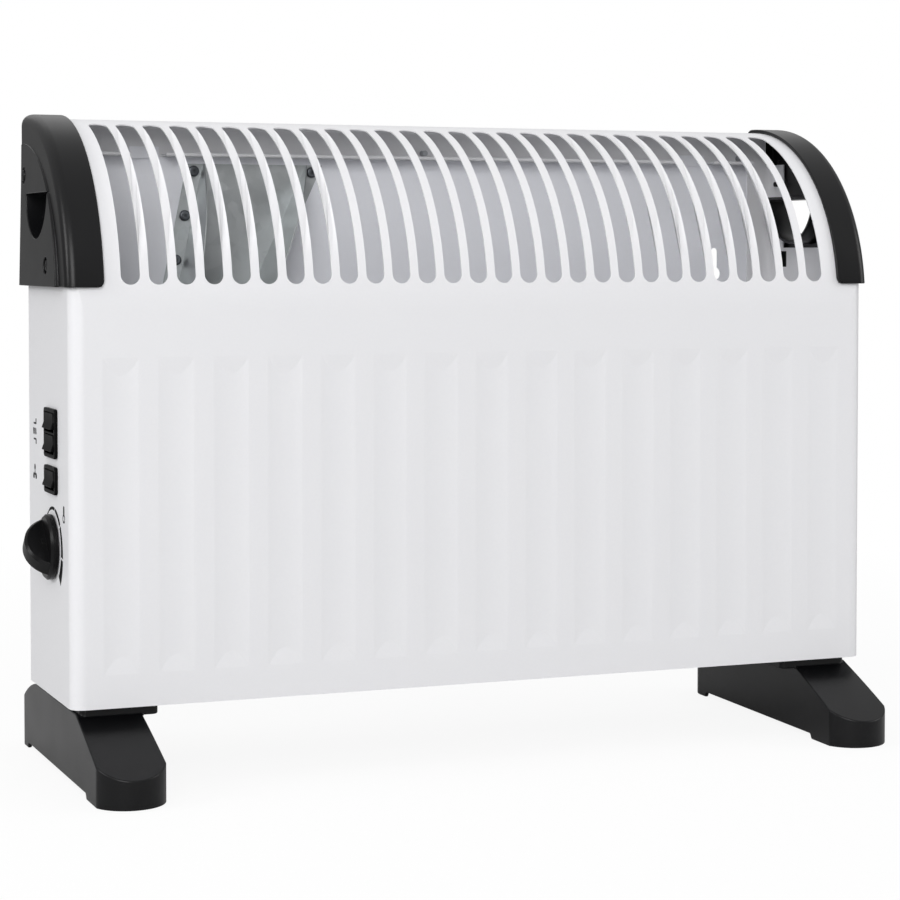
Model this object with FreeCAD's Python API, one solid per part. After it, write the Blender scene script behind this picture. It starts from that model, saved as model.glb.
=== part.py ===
"""Convector heater: sheet-steel body with a bar grille, moulded end caps and feet, controls, heater and fan.

The frame has +X to the right, the front towards -Y and +Z up. The body's mid-plane is modelled at x = 0
and every piece is moved sideways at the end, so that the origin lies on the floor under the middle of the
whole part.
"""
import FreeCAD
import Part
import math
import os

Vector = FreeCAD.Vector
X_AXIS = Vector(1, 0, 0)
Y_AXIS = Vector(0, 1, 0)
Z_AXIS = Vector(0, 0, 1)
CLOSED = 1e-6
QUARTER = 90.0

# Sheet-steel body
body_width = 513.0
body_depth = 118.0
body_bottom = 48.0
body_top = 387.0
sheet = 0.8
corner_radius = 8.0
rear_bend = 5.0
roof_flat = 0.3
roof_flange = 21.5
rear_side_flange = 20.5
rear_bottom_flange = 12.0
side_wall_rise = 34.8
end_trim = 6.5
tab_width = 15.0
tab_rise = 90.8
clip_size = 10.6
clip_setback = 14.4
clip_drop = 7.6

# Air slots over the curved top
slot_count = 28
slot_pitch = 16.39
slot_width = 11.2
slot_lead = 13.2
slot_end_angle = 75.0

# Pressed flutes of the front
flute_count = 15
flute_pitch = 32.5
flute_width = 21.0
flute_depth = 0.7
flute_foot = 19.0
flute_height = 180.0
flute_run_out = 10.0

# Rear panel and its hanging keyholes
panel_margin = 8.2
panel_foot = 3.0
panel_head = 7.0
keyhole_margin = 25.5
keyhole_drop = 94.5
keyhole_radius = 4.6
keyhole_slot = 4.6
keyhole_rise = 15.0
panel_screw_inset = 4.6
hook_width = 18.6
hook_rise = 6.2
hook_gap = 0.2
left_hook_x = -183.4
right_hook_x = 193.2

# Bottom tray
tray_flange = 11.0
tray_gap = 0.1
inlet_count = 19
inlet_pitch = 20.0
inlet_width = 9.0
inlet_length = 78.0

# End caps
cap_gap = 0.3
cap_wall = 2.2
cap_reach = 19.6
cap_lead = 11.8
cap_rim_round = 6.0
cap_lip_round = 4.0
plate_inset = 18.0
plate_rear_inset = 7.0
plate_rise = 2.4
grip_half = 28.4
grip_height = 26.8
grip_drop = 45.5
grip_setback = 47.0
grip_depth = 19.0
cap_boss_radius = 6.8
cap_well_radius = 5.0
cap_well_floor = 2.0
low_screw_setback = 74.5
low_screw_rise = 12.1
high_screw_setback = 10.6
high_screw_drop = 34.3

# Screws
screw_radius = 1.7
screw_head_radius = 3.4
screw_head = 2.2
screw_length = 7.0
screw_gap = 0.2

# Feet
foot_outer_margin = 4.8
foot_front_width = 40.0
foot_rear_width = 32.0
foot_front_reach = 109.0
foot_rear_reach = 108.0
foot_bulge = 14.0
foot_front_tip = 16.5
foot_front_waist = 35.0
foot_front_waist_reach = 68.0
foot_rear_tip = 22.0
foot_rear_waist = 36.5
foot_rear_waist_reach = 86.0
foot_shoulder_reach = 46.0
foot_plate = 4.0
foot_plate_reach = 50.0
foot_plate_ledge = 8.0
foot_plate_step = 2.0
foot_wall = 2.6
foot_arch = 3.2
foot_front_pad = 39.0
foot_rear_pad = 26.0
foot_rib = 2.0
foot_screw_spread = 62.0
foot_boss_radius = 6.5
foot_boss_height = 16.0
foot_well_depth = 5.0

# Controls on the left wall
control_setback = 47.0
knob_rise = 88.0
fan_switch_rise = 39.1
heat_switch_rise = 27.1
heat_rockers = 2
fan_rockers = 1
rocker_half_base = 4.3
rocker_half_top = 4.7
rocker_width = 23.6
rocker_base = 3.0
rocker_proud = 3.2
rocker_valley = 0.9
rocker_pivot_depth = 2.5
rocker_tilt = 8.0
rocker_gap = 0.3
pivot_radius = 1.2
pivot_length = 0.8
switch_flange = 2.0
switch_border = 2.4
switch_divider = 1.4
switch_wall = 1.3
switch_depth = 13.0
blade_width = 4.8
blade_length = 8.0
knob_gap = 0.8
knob_radius = 19.0
knob_skirt = 4.2
knob_proud = 17.0
knob_grip_width = 10.5
knob_grip_margin = 1.0
knob_turn = 45.0
knob_edge = 1.4
knob_recess_radius = 15.0
knob_floor = 1.4
shaft_radius = 3.0
shaft_flat = 1.2
shaft_gap = 0.15
shaft_proud = 14.0
shaft_depth = 13.0
bush_radius = 4.8
bush_proud = 2.2
nut_width = 14.0
nut_sides = 6
nut_thickness = 1.8
thermostat_width = 24.0
thermostat_height = 30.0
thermostat_depth = 17.0
thermostat_flange = 2.0
thermostat_ear = 7.0

# Control bay
bay_width = 46.0
shield_height = 190.0
shield_foot = 10.0
shield_gap = 0.6
lead_hole_radius = 6.0
lead_hole_rise = 40.0
terminal_length = 34.0
terminal_width = 18.0
terminal_height = 14.0
terminal_base = 4.7
terminal_ways = 3
terminal_gap = 1.2
cord_bush_radius = 8.0
cord_bush_bore = 3.8
cord_bush_flange = 11.0
cord_bush_lip = 3.0
cord_bush_inset = 29.5
cord_bush_rise = 30.0

# Heating elements
element_length = 290.0
element_right_gap = 22.0
element_rise = 70.0
element_spread = 44.0
element_hub = 5.0
element_arm = 18.0
element_fin = 1.6
element_rib = 6.0
element_rib_reach = 12.0
insulator_radius = 4.4
insulator_collar = 7.0
insulator_collar_length = 3.0
insulator_length = 12.0
pin_radius = 1.5
pin_length = 9.0
bracket_gap = 0.2
bracket_depth = 86.0
bracket_head = 14.0
bracket_foot = 14.0
cutout_radius = 8.0
cutout_height = 9.0
cutout_flange = 2.0

# Fan
fan_axis_rise = 152.0
fan_offset = 150.0
wheel_radius = 30.0
wheel_width = 30.0
wheel_blades = 16
wheel_blade = 1.2
wheel_blade_chord = 8.0
wheel_blade_lean = 25.0
wheel_rim = 1.6
wheel_hub_radius = 7.0
wheel_hub = 10.0
wheel_gap = 4.0
scroll_growth = 3.0
scroll_outlet_rise = 48.0
scroll_tongue = 50.0
inlet_ring_radius = 23.0
fan_shaft_radius = 2.0
fan_shaft_gap = 0.2
motor_width = 44.0
motor_stack = 16.0
motor_head = 20.0
motor_window_drop = 16.0
motor_window_height = 14.0
motor_window_width = 26.0
motor_leg = 8.0
motor_standoff = 6.0
motor_post_radius = 2.5
motor_post_inset = 5.0
rotor_radius = 12.0
rotor_gap = 0.5
bridge_height = 10.0
bridge_thickness = 1.5
coil_build = 5.5
coil_gap = 0.6
duct_top_offset = 112.0
duct_top_width = 68.0
duct_top_drop = 25.5
duct_front_rise = 38.0
duct_top_depth = 47.0
duct_flange = 10.0
duct_waist_setback = 32.2
duct_waist_drop = 33.0
duct_mouth_setback = 46.2
duct_screws_a_side = 3
duct_screw_drop = 4.5
duct_screw_pitch = 27.5

# Derived sizes
half_width = body_width / 2
shell_front = -body_depth / 2
shell_rear = body_depth / 2 - sheet
panel_rear = shell_rear + sheet
grille_radius = shell_rear - shell_front - rear_bend - roof_flat
arc_y = shell_front + grille_radius
arc_z = body_top - grille_radius
side_wall_top = arc_z + side_wall_rise
tab_top = arc_z + tab_rise
clip_y = shell_rear - clip_setback
clip_z = side_wall_top - clip_drop
flange_bottom = body_top - roof_flange
cap_bottom = arc_z + cap_lead
cap_proud = cap_gap + cap_wall
cap_rim = half_width + cap_proud
cap_outer = cap_rim + plate_rise
cap_inner = half_width - cap_reach
grip_y = shell_rear - grip_setback
grip_top = body_top - grip_drop
low_screw = (shell_rear - low_screw_setback, cap_bottom + low_screw_rise)
high_screw = (shell_rear - high_screw_setback, body_top - high_screw_drop)
tray_top = body_bottom + sheet
inner_front = shell_front + sheet
inner_rear = shell_rear - sheet
control_y = shell_front + control_setback
knob_z = body_bottom + knob_rise
fan_switch_z = knob_z + fan_switch_rise
heat_switch_z = fan_switch_z + heat_switch_rise
wall_x = -half_width
tilt = math.radians(rocker_tilt)
foot_outer = half_width - foot_outer_margin
foot_top = body_bottom - foot_plate
foot_middle = foot_outer - (foot_front_width + foot_rear_width) / 4
element_z = body_bottom + element_rise
element_right = half_width - element_right_gap - insulator_length
element_left = element_right - element_length
fan_z = body_bottom + fan_axis_rise
fan_x = -fan_offset
scroll_half = wheel_width / 2 + wheel_gap
scroll_radius = wheel_radius + wheel_gap
duct_rear = shell_rear
fan_y = duct_rear - sheet - scroll_radius - 3 * scroll_growth
outlet_z = fan_z + scroll_outlet_rise
duct_top = body_top - duct_top_drop
cheek_x = fan_x - scroll_half - sheet
stack_right = cheek_x - motor_standoff
stack_left = stack_right - motor_stack
bay_x = wall_x + bay_width
origin_shift = (half_width + knob_proud - cap_outer) / 2


def yz(a, b):
    """Point of the side view."""
    return Vector(0, a, b)


def xy(a, b):
    """Point of the plan view."""
    return Vector(a, b, 0)


def xz(a, b):
    """Point of the front view."""
    return Vector(a, 0, b)


def outline(points, place):
    """Closed face through the points; an entry that holds two points is an arc's middle and end."""
    edges = []
    first = place(*points[0])
    start = first
    for entry in points[1:]:
        if isinstance(entry[0], tuple):
            end = place(*entry[1])
            edges.append(Part.Arc(start, place(*entry[0]), end).toShape())
        else:
            end = place(*entry)
            edges.append(Part.LineSegment(start, end).toShape())
        start = end
    if not start.isEqual(first, CLOSED):
        edges.append(Part.LineSegment(start, first).toShape())
    return Part.Face(Part.Wire(edges))


def prism(face, along, start, end):
    """Solid swept from start to end along an axis."""
    shape = face.copy()
    shape.translate(along * start)
    return shape.extrude(along * (end - start))


def block(x, y, z):
    """Box between pairs of limits."""
    corner = Vector(min(x), min(y), min(z))
    return Part.makeBox(abs(x[1] - x[0]), abs(y[1] - y[0]), abs(z[1] - z[0]), corner)


def rod(foot, axis, radius, length):
    """Cylinder from its foot along an axis."""
    return Part.makeCylinder(radius, length, foot, axis)


def fused(shapes):
    """One solid from touching solids, without the seams between them."""
    first = shapes[0]
    rest = shapes[1:]
    return first.fuse(rest).removeSplitter() if rest else first


def polar(centre, radius, degrees):
    """Point of a circle in the side view; 0 degrees looks to the front and 90 degrees up."""
    angle = math.radians(degrees)
    return (centre[0] - radius * math.cos(angle), centre[1] + radius * math.sin(angle))


def mirrored(shape):
    """The same piece for the other side."""
    return shape.mirror(Vector(0, 0, 0), X_AXIS)


def screw(seat, inward, length=screw_length):
    """Pan-head screw with its head outside the seat."""
    head = rod(seat, inward * -1, screw_head_radius, screw_head)
    shank = rod(seat, inward, screw_radius, length)
    return fused([head, shank])


def screw_hole(seat, inward, depth):
    """Clearance hole through what a screw holds, cut to the same depth on both sides of the seat."""
    return rod(seat - inward * depth, inward, screw_radius + screw_gap, 2 * depth)


def body_profile(grow, rear, bottom):
    """Side view of the body, grown outwards: straight front, curved grille, small rear bend."""
    bend_y = rear - rear_bend
    bend_z = body_top - rear_bend
    bend = rear_bend + grow
    return outline([
        (shell_front - grow, bottom),
        (shell_front - grow, arc_z),
        (polar((arc_y, arc_z), grille_radius + grow, QUARTER / 2), (arc_y, body_top + grow)),
        (bend_y, body_top + grow),
        (polar((bend_y, bend_z), bend, 1.5 * QUARTER), (rear + grow, bend_z)),
        (rear + grow, bottom),
    ], yz)


def rounded_plan(half, front, rear, radius):
    """Plan view of the body with rounded corners."""
    bow = radius * (1 - math.sqrt(0.5))
    return outline([
        (-half + radius, front),
        (half - radius, front),
        ((half - bow, front + bow), (half, front + radius)),
        (half, rear - radius),
        ((half - bow, rear - bow), (half - radius, rear)),
        (-half + radius, rear),
        ((-half + bow, rear - bow), (-half, rear - radius)),
        (-half, front + radius),
        ((-half + bow, front + bow), (-half + radius, front)),
    ], xy)


def body_solid(inset):
    """Body as a full solid, drawn in by the inset everywhere but at its open bottom."""
    half = half_width - inset
    bottom = body_bottom - inset
    side = prism(body_profile(-inset, shell_rear, bottom), X_AXIS, -half, half)
    plan = rounded_plan(half, shell_front + inset, shell_rear - inset, corner_radius - inset)
    return side.common(prism(plan, Z_AXIS, bottom, body_top + sheet))


def flutes(skin):
    """Shallow pressings, side by side, that sink into the front and run out at their ends, skin and all."""
    radius = flute_width ** 2 / (8 * flute_depth) + flute_depth / 2
    face = shell_front + skin
    low = body_bottom + flute_foot
    high = low + flute_height
    rise = outline([
        (face - flute_depth, low - flute_run_out),
        (face + flute_depth, low + flute_run_out),
        (face + flute_depth, high - flute_run_out),
        (face - flute_depth, high + flute_run_out),
    ], yz)
    tools = []
    for i in range(flute_count):
        x = (i - (flute_count - 1) / 2) * flute_pitch
        foot = Vector(x, shell_front + flute_depth - radius, low - flute_run_out)
        trough = rod(foot, Z_AXIS, radius + skin, flute_height + 2 * flute_run_out)
        tools.append(trough.common(prism(rise, X_AXIS, x - flute_pitch / 2, x + flute_pitch / 2)))
    return tools


def grille_slots():
    """Air slots that follow the curve of the top, with round ends."""
    half = slot_width / 2
    first = math.degrees(math.asin((slot_lead + half) / grille_radius))
    last = slot_end_angle - math.degrees(half / grille_radius)
    middle = (first + last) / 2
    reach = slot_width
    centre = (arc_y, arc_z)
    sector = outline([
        polar(centre, grille_radius - reach, first),
        polar(centre, grille_radius + reach, first),
        (polar(centre, grille_radius + reach, middle), polar(centre, grille_radius + reach, last)),
        polar(centre, grille_radius - reach, last),
        (polar(centre, grille_radius - reach, middle), polar(centre, grille_radius - reach, first)),
    ], yz)
    tools = []
    for i in range(slot_count):
        x = (i - (slot_count - 1) / 2) * slot_pitch
        pieces = [prism(sector, X_AXIS, x - half, x + half)]
        for angle in (first, last):
            foot = polar(centre, grille_radius - reach, angle)
            tip = polar(centre, grille_radius + reach, angle)
            axis = yz(*tip) - yz(*foot)
            pieces.append(rod(Vector(x, *foot), axis, half, 2 * reach))
        tools.append(fused(pieces))
    return tools


def cap_seats(side):
    """Seats of one end cap's screws on the body's side wall."""
    return [Vector(side * half_width, *place) for place in (low_screw, high_screw)]


def panel_seats():
    """Seats of the rear panel's screws, in the flanges of the body."""
    x = half_width - panel_margin - panel_screw_inset
    low = body_bottom + rear_bottom_flange / 2
    high = flange_bottom + panel_screw_inset
    heights = [low, (low + high) / 2]
    corners = [(side * x, z) for side in (-1, 1) for z in heights]
    roof = [(side * (cap_inner - panel_margin), high) for side in (-1, 1)]
    return [Vector(px, panel_rear, pz) for px, pz in corners + roof + [(0, low), (0, high)]]


def window_half():
    """Half the height that a rocker needs in its window at both ends of its swing."""
    height = rocker_base + rocker_proud
    low = rocker_pivot_depth - rocker_base
    lean = (rocker_half_top - rocker_half_base) / height
    rise = math.cos(tilt) - lean * math.sin(tilt)
    offset = low * math.cos(tilt) - rocker_half_base * math.sin(tilt)
    up = (switch_flange + rocker_pivot_depth - offset) / rise
    along = (rocker_half_base + lean * up) * math.cos(tilt) + (low + up) * math.sin(tilt)
    return along + rocker_gap


def switch_body_half(rockers):
    """Half the height of the part of a switch that passes through the wall."""
    return rockers * window_half() + (rockers - 1) * switch_divider / 2 + switch_wall


switch_inner_half = rocker_width / 2 + rocker_gap
switch_outer_half = switch_inner_half + switch_wall


def front_shell():
    """Front, sides, bar grille and rear flanges, bent and pressed from one sheet."""
    outer = body_solid(0).cut(flutes(0))
    inner = body_solid(sheet).cut(flutes(sheet))
    shell = outer.cut(inner)
    beyond = half_width + sheet
    past_top = body_top + sheet
    window = half_width - rear_side_flange
    cuts = grille_slots()
    cuts.append(block((-window, window), (inner_rear - sheet, panel_rear),
                      (body_bottom + rear_bottom_flange, flange_bottom)))
    for side in (-1, 1):
        ends = (side * (half_width - end_trim), side * beyond)
        rear_tab = shell_rear - tab_width
        cuts.append(block(ends, (shell_front - sheet, rear_tab), (side_wall_top, past_top)))
        cuts.append(block(ends, (rear_tab, panel_rear), (tab_top, past_top)))
        cuts.append(block((side * (half_width - 2 * sheet), side * beyond),
                          (clip_y - clip_size / 2, clip_y + clip_size / 2),
                          (clip_z - clip_size / 2, clip_z + clip_size / 2)))
        for seat in cap_seats(side):
            cuts.append(screw_hole(seat, X_AXIS * -side, 2 * sheet))
    wall = (wall_x - sheet, wall_x + 2 * sheet)
    fit = switch_outer_half + screw_gap
    for z, rockers in ((heat_switch_z, heat_rockers), (fan_switch_z, fan_rockers)):
        tall = switch_body_half(rockers) + screw_gap
        cuts.append(block(wall, (control_y - fit, control_y + fit), (z - tall, z + tall)))
    cuts.append(rod(Vector(wall_x - sheet, control_y, knob_z), X_AXIS, bush_radius + screw_gap, 3 * sheet))
    for seat in panel_seats():
        cuts.append(screw_hole(seat, Y_AXIS * -1, 3 * sheet))
    return shell.cut(cuts)


def keyhole(x):
    """Round entry with a narrow slot above it, to hang the heater on a screw."""
    z = arc_z + grille_radius - keyhole_drop
    foot = Vector(x, shell_rear - sheet, z)
    slot = keyhole_slot / 2
    neck = block((x - slot, x + slot), (shell_rear - sheet, panel_rear + sheet), (z, z + keyhole_rise))
    return fused([
        rod(foot, Y_AXIS, keyhole_radius, 3 * sheet),
        neck,
        rod(foot + Z_AXIS * keyhole_rise, Y_AXIS, slot, 3 * sheet),
    ])


def rear_panel():
    """Flat back, narrower between the end caps, with hanging keyholes."""
    half = half_width - panel_margin
    neck = cap_inner - cap_gap
    bottom = body_bottom + panel_foot
    step = cap_bottom - cap_gap
    face = outline([
        (-half, bottom),
        (half, bottom),
        (half, step),
        (neck, step),
        (neck, body_top - panel_head),
        (-neck, body_top - panel_head),
        (-neck, step),
        (-half, step),
    ], xz)
    panel = prism(face, Y_AXIS, shell_rear, panel_rear)
    cuts = [keyhole(side * (cap_inner - keyhole_margin)) for side in (-1, 1)]
    cuts.append(rod(cord_seat() - Y_AXIS * sheet, Y_AXIS, cord_bush_radius + screw_gap, 3 * sheet))
    cuts += [screw_hole(seat, Y_AXIS * -1, 2 * sheet) for seat in panel_seats()]
    cuts += [screw_hole(seat, Y_AXIS, 3 * sheet) for seat in duct_seats()]
    return fused([panel] + [panel_hook(x) for x in (left_hook_x, right_hook_x)]).cut(cuts)


def panel_hook(x):
    """Tongue of the rear panel that passes under the roof flange and stands up in front of it."""
    across = (x - hook_width / 2, x + hook_width / 2)
    front = inner_rear - hook_gap - sheet
    level = flange_bottom - hook_gap
    tongue = block(across, (front, panel_rear), (level - sheet, level))
    return fused([tongue, block(across, (front, front + sheet), (level - sheet, flange_bottom + hook_rise))])


def cord_seat():
    """Centre of the cord's entry on the inner face of the rear panel."""
    return Vector(wall_x + cord_bush_inset, shell_rear, body_bottom + cord_bush_rise)


def foot_seats(side):
    """Points of the bottom where one foot's screws pass."""
    return [Vector(side * foot_middle, end * foot_screw_spread / 2, body_bottom) for end in (-1, 1)]


def bottom_tray():
    """Bottom sheet with upturned edges and a row of air inlets."""
    half = half_width - sheet - tray_gap
    front = inner_front + tray_gap
    rear = inner_rear - tray_gap
    radius = corner_radius - sheet - tray_gap
    top = body_bottom + tray_flange
    tray = prism(rounded_plan(half, front, rear, radius), Z_AXIS, body_bottom, top)
    inner = rounded_plan(half - sheet, front + sheet, rear - sheet, radius - sheet)
    cuts = [prism(inner, Z_AXIS, tray_top, top + sheet)]
    for i in range(inlet_count):
        x = (i - (inlet_count - 1) / 2) * inlet_pitch
        cuts.append(block((x - inlet_width / 2, x + inlet_width / 2), (-inlet_length / 2, inlet_length / 2),
                          (body_bottom - sheet, tray_top + sheet)))
    for side in (-1, 1):
        for seat in foot_seats(side):
            cuts.append(screw_hole(seat, Z_AXIS, 3 * sheet))
    for seat in panel_seats():
        cuts.append(screw_hole(seat, Y_AXIS * -1, screw_length))
    return tray.cut(cuts)


def grip_face(grow):
    """Hand hole: flat on top and round below."""
    radius = (grip_half ** 2 + grip_height ** 2) / (2 * grip_height)
    centre_z = grip_top - grip_height + radius
    top = grip_top + grow
    half = math.sqrt((radius + grow) ** 2 - (top - centre_z) ** 2)
    return outline([
        (grip_y + half, top),
        (grip_y - half, top),
        ((grip_y, centre_z - radius - grow), (grip_y + half, top)),
    ], yz)


def plate_profile(inset):
    """Side view of the end cap's raised plate: curved like the grille and open to the rear."""
    radius = grille_radius + cap_proud - inset
    low = arc_z - cap_lead
    return outline([
        (arc_y - radius, low),
        (arc_y - radius, arc_z),
        (polar((arc_y, arc_z), radius, QUARTER / 2), (arc_y, arc_z + radius)),
        (arc_y + body_depth, arc_z + radius),
        (arc_y + body_depth, low),
    ], yz)


def plate_lean(inset):
    """Front view of the raised plate, drawn in: level with the rim at the top and leaning out to its foot."""
    top = body_top + cap_proud
    return outline([
        (half_width, cap_bottom),
        (cap_outer - inset, cap_bottom),
        (cap_rim - inset, top),
        (half_width, top),
    ], xz)


def plate_solid(inset, rear):
    """Raised plate of the right end cap as a full solid, drawn in by the inset."""
    front = -2 * body_depth
    side = prism(plate_profile(plate_inset + inset), X_AXIS, half_width, cap_outer)
    side = side.common(prism(plate_lean(inset), Y_AXIS, front, rear))
    return side.common(block((half_width, cap_outer), (front, rear), (cap_bottom + inset, body_top)))


def right_end_cap():
    """Moulded cover of the grille's end with a raised side plate, a hand hole and two screw wells."""
    low = arc_z - cap_lead
    far = 2 * body_depth
    keep = block((0, 2 * cap_outer), (-far, far), (cap_bottom, cap_bottom + far))
    hood = prism(body_profile(cap_proud, panel_rear, low), X_AXIS, cap_inner, cap_rim).common(keep)
    rim = [e for e in hood.Edges if e.BoundBox.XMin > cap_rim - sheet
           and e.BoundBox.ZMax > cap_bottom + sheet]
    hood = hood.makeFillet(min(cap_rim_round, rear_bend + cap_wall), rim)
    plate_rear = panel_rear + cap_proud - plate_rear_inset
    cavity = prism(body_profile(cap_gap, panel_rear, low), X_AXIS, cap_inner - sheet, half_width + cap_gap)
    pocket = plate_solid(cap_wall, plate_rear - cap_wall)
    shell = fused([hood, plate_solid(0, plate_rear)]).cut([cavity, pocket])
    lip = [e for e in shell.Edges if abs(e.BoundBox.XMax - cap_inner) < CLOSED and e.Length < 2 * cap_wall
           and e.BoundBox.ZMax < cap_bottom + CLOSED]
    shell = shell.makeFillet(cap_lip_round, lip)
    bosses = [rod(seat, X_AXIS, cap_boss_radius, cap_rim - half_width) for seat in cap_seats(1)]
    tube = prism(grip_face(cap_wall), X_AXIS, cap_outer - grip_depth, cap_rim)
    cuts = [prism(grip_face(0), X_AXIS, cap_inner, cap_outer + sheet)]
    for seat in cap_seats(1):
        cuts.append(rod(seat + X_AXIS * cap_well_floor, X_AXIS, cap_well_radius, cap_outer))
        cuts.append(screw_hole(seat, X_AXIS, cap_well_floor + sheet))
    return fused([shell, tube] + bosses).cut(cuts)


def left_end_cap():
    """The other cap, handed."""
    return mirrored(right_end_cap())


def cap_screws():
    """Screws in the wells of both caps."""
    screws = []
    for side in (-1, 1):
        for seat in cap_seats(side):
            screws.append(screw(seat + X_AXIS * side * cap_well_floor, X_AXIS * -side))
    return Part.makeCompound(screws)


def panel_screws():
    """Screws that hold the rear panel to the body's flanges."""
    return Part.makeCompound([screw(seat, Y_AXIS * -1) for seat in panel_seats()])


def foot_plan(inset):
    """Plan of the right foot: straight outside, narrower towards the rear, bowed ends."""
    outer = foot_outer - inset
    front_inner = foot_outer - foot_front_width + inset
    rear_inner = foot_outer - foot_rear_width + inset
    front = -foot_front_reach + foot_bulge
    rear = foot_rear_reach - foot_bulge
    return outline([
        (outer, front),
        (outer, rear),
        (((outer + rear_inner) / 2, foot_rear_reach - inset), (rear_inner, rear)),
        (front_inner, front),
        (((outer + front_inner) / 2, -foot_front_reach + inset), (outer, front)),
    ], xy)


def foot_side(inset, floor):
    """Side view of a foot: a shoulder under the body and a crowned slope down to each end."""
    front = -foot_front_reach + inset
    rear = foot_rear_reach - inset
    return outline([
        (front, floor),
        (front, foot_front_tip - inset),
        ((-foot_front_waist_reach, foot_front_waist - inset), (-foot_shoulder_reach, foot_top - inset)),
        (foot_shoulder_reach, foot_top - inset),
        ((foot_rear_waist_reach, foot_rear_waist - inset), (rear, foot_rear_tip - inset)),
        (rear, floor),
    ], yz)


def foot_solid(inset, floor):
    """Foot as a full solid, drawn in by the inset."""
    span = foot_front_width + foot_plate_ledge
    side = prism(foot_side(inset, floor), X_AXIS, foot_outer - span, foot_outer + span)
    return prism(foot_plan(inset), Z_AXIS, floor, foot_top).common(side)


def right_foot():
    """Hollow moulded foot with a top plate, cross ribs, two screw bosses and an arched sole."""
    hollow = foot_solid(foot_wall, -foot_wall)
    plate_outer = foot_outer - foot_plate_step
    plate_inner = foot_outer - foot_front_width - foot_plate_ledge
    plate_half = (plate_outer - plate_inner) / 2
    plan = rounded_plan(plate_half, -foot_plate_reach, foot_plate_reach, foot_plate)
    plate = prism(plan, Z_AXIS, foot_top - foot_wall, body_bottom)
    plate.translate(X_AXIS * (plate_inner + plate_half))
    ribs = []
    for y in (-foot_front_waist_reach, 0, foot_shoulder_reach):
        rib = block((0, 2 * foot_outer), (y - foot_rib / 2, y + foot_rib / 2),
                    (foot_arch + foot_wall, foot_top))
        ribs.append(rib.common(hollow))
    boss_foot = foot_top - foot_boss_height
    bosses = []
    cuts = []
    for seat in foot_seats(1):
        foot = Vector(seat.x, seat.y, boss_foot)
        bosses.append(rod(foot, Z_AXIS, foot_boss_radius, foot_boss_height))
        cuts.append(rod(foot - Z_AXIS * foot_rib, Z_AXIS, screw_head_radius + cap_gap,
                        foot_well_depth + foot_rib))
        cuts.append(rod(foot, Z_AXIS, screw_radius + screw_gap, body_bottom))
    arch = outline([
        (-foot_front_reach + foot_front_pad - foot_arch, -foot_wall),
        (-foot_front_reach + foot_front_pad, foot_arch),
        (foot_rear_reach - foot_rear_pad, foot_arch),
        (foot_rear_reach - foot_rear_pad + foot_arch, -foot_wall),
    ], yz)
    cuts.append(prism(arch, X_AXIS, 0, 2 * foot_outer))
    shell = foot_solid(0, 0).cut(hollow)
    return fused([shell, plate] + ribs + bosses).cut(cuts)


def left_foot():
    """The other foot, handed."""
    return mirrored(right_foot())


def foot_screws():
    """Screws that hold the feet, up through their bosses into the tray."""
    level = foot_top - foot_boss_height + foot_well_depth
    screws = []
    for side in (-1, 1):
        for seat in foot_seats(side):
            screws.append(screw(Vector(seat.x, seat.y, level), Z_AXIS, body_bottom - level + screw_length))
    return Part.makeCompound(screws)


def rocker_heights(z, rockers):
    """Centres of the rockers of one switch, the upper one first."""
    step = 2 * window_half() + switch_divider
    return [z + ((rockers - 1) / 2 - i) * step for i in range(rockers)]


def rocker(z):
    """Rocker with a shallow valley and two pivot pins, tipped so that its upper end is pressed in."""
    pivot = Vector(wall_x + rocker_pivot_depth, control_y, z)
    face = outline([
        (wall_x + rocker_base, z - rocker_half_base),
        (wall_x - rocker_proud, z - rocker_half_top),
        (wall_x - rocker_proud + rocker_valley, z),
        (wall_x - rocker_proud, z + rocker_half_top),
        (wall_x + rocker_base, z + rocker_half_base),
    ], xz)
    half = rocker_width / 2
    key = prism(face, Y_AXIS, control_y - half, control_y + half)
    pins = rod(pivot - Y_AXIS * (half + pivot_length), Y_AXIS, pivot_radius, 2 * (half + pivot_length))
    shape = fused([key, pins])
    shape.rotate(pivot, Y_AXIS, rocker_tilt)
    return shape


def switch_frame(z, rockers):
    """Switch housing with one window for each rocker, clipped into the wall."""
    reach = window_half() * rockers + switch_divider * (rockers - 1) / 2
    lip = switch_inner_half + switch_border
    flange = block((wall_x - switch_flange, wall_x), (control_y - lip, control_y + lip),
                   (z - reach - switch_border, z + reach + switch_border))
    corners = [e for e in flange.Edges if e.BoundBox.YLength < CLOSED and e.BoundBox.ZLength < CLOSED]
    flange = flange.makeFillet(switch_border, corners)
    tall = switch_body_half(rockers)
    body = block((wall_x, wall_x + switch_depth),
                 (control_y - switch_outer_half, control_y + switch_outer_half), (z - tall, z + tall))
    cuts = []
    pin_reach = rocker_width / 2 + pivot_length + rocker_gap
    for centre in rocker_heights(z, rockers):
        cuts.append(block((wall_x - 2 * switch_flange, wall_x + switch_depth - switch_wall),
                          (control_y - switch_inner_half, control_y + switch_inner_half),
                          (centre - window_half(), centre + window_half())))
        pivot = Vector(wall_x + rocker_pivot_depth, control_y - pin_reach, centre)
        cuts.append(rod(pivot, Y_AXIS, pivot_radius + rocker_gap, 2 * pin_reach))
    return fused([flange, body]).cut(cuts)


def switch_blades():
    """Connection blades behind the switches: a pair for each rocker."""
    back = wall_x + switch_depth
    blades = []
    for z in rocker_heights(heat_switch_z, heat_rockers) + rocker_heights(fan_switch_z, fan_rockers):
        for side in (-1, 1):
            y = control_y + side * switch_inner_half / 2
            blades.append(block((back, back + blade_length), (y - sheet / 2, y + sheet / 2),
                                (z - blade_width / 2, z + blade_width / 2)))
    return Part.makeCompound(blades)


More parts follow.
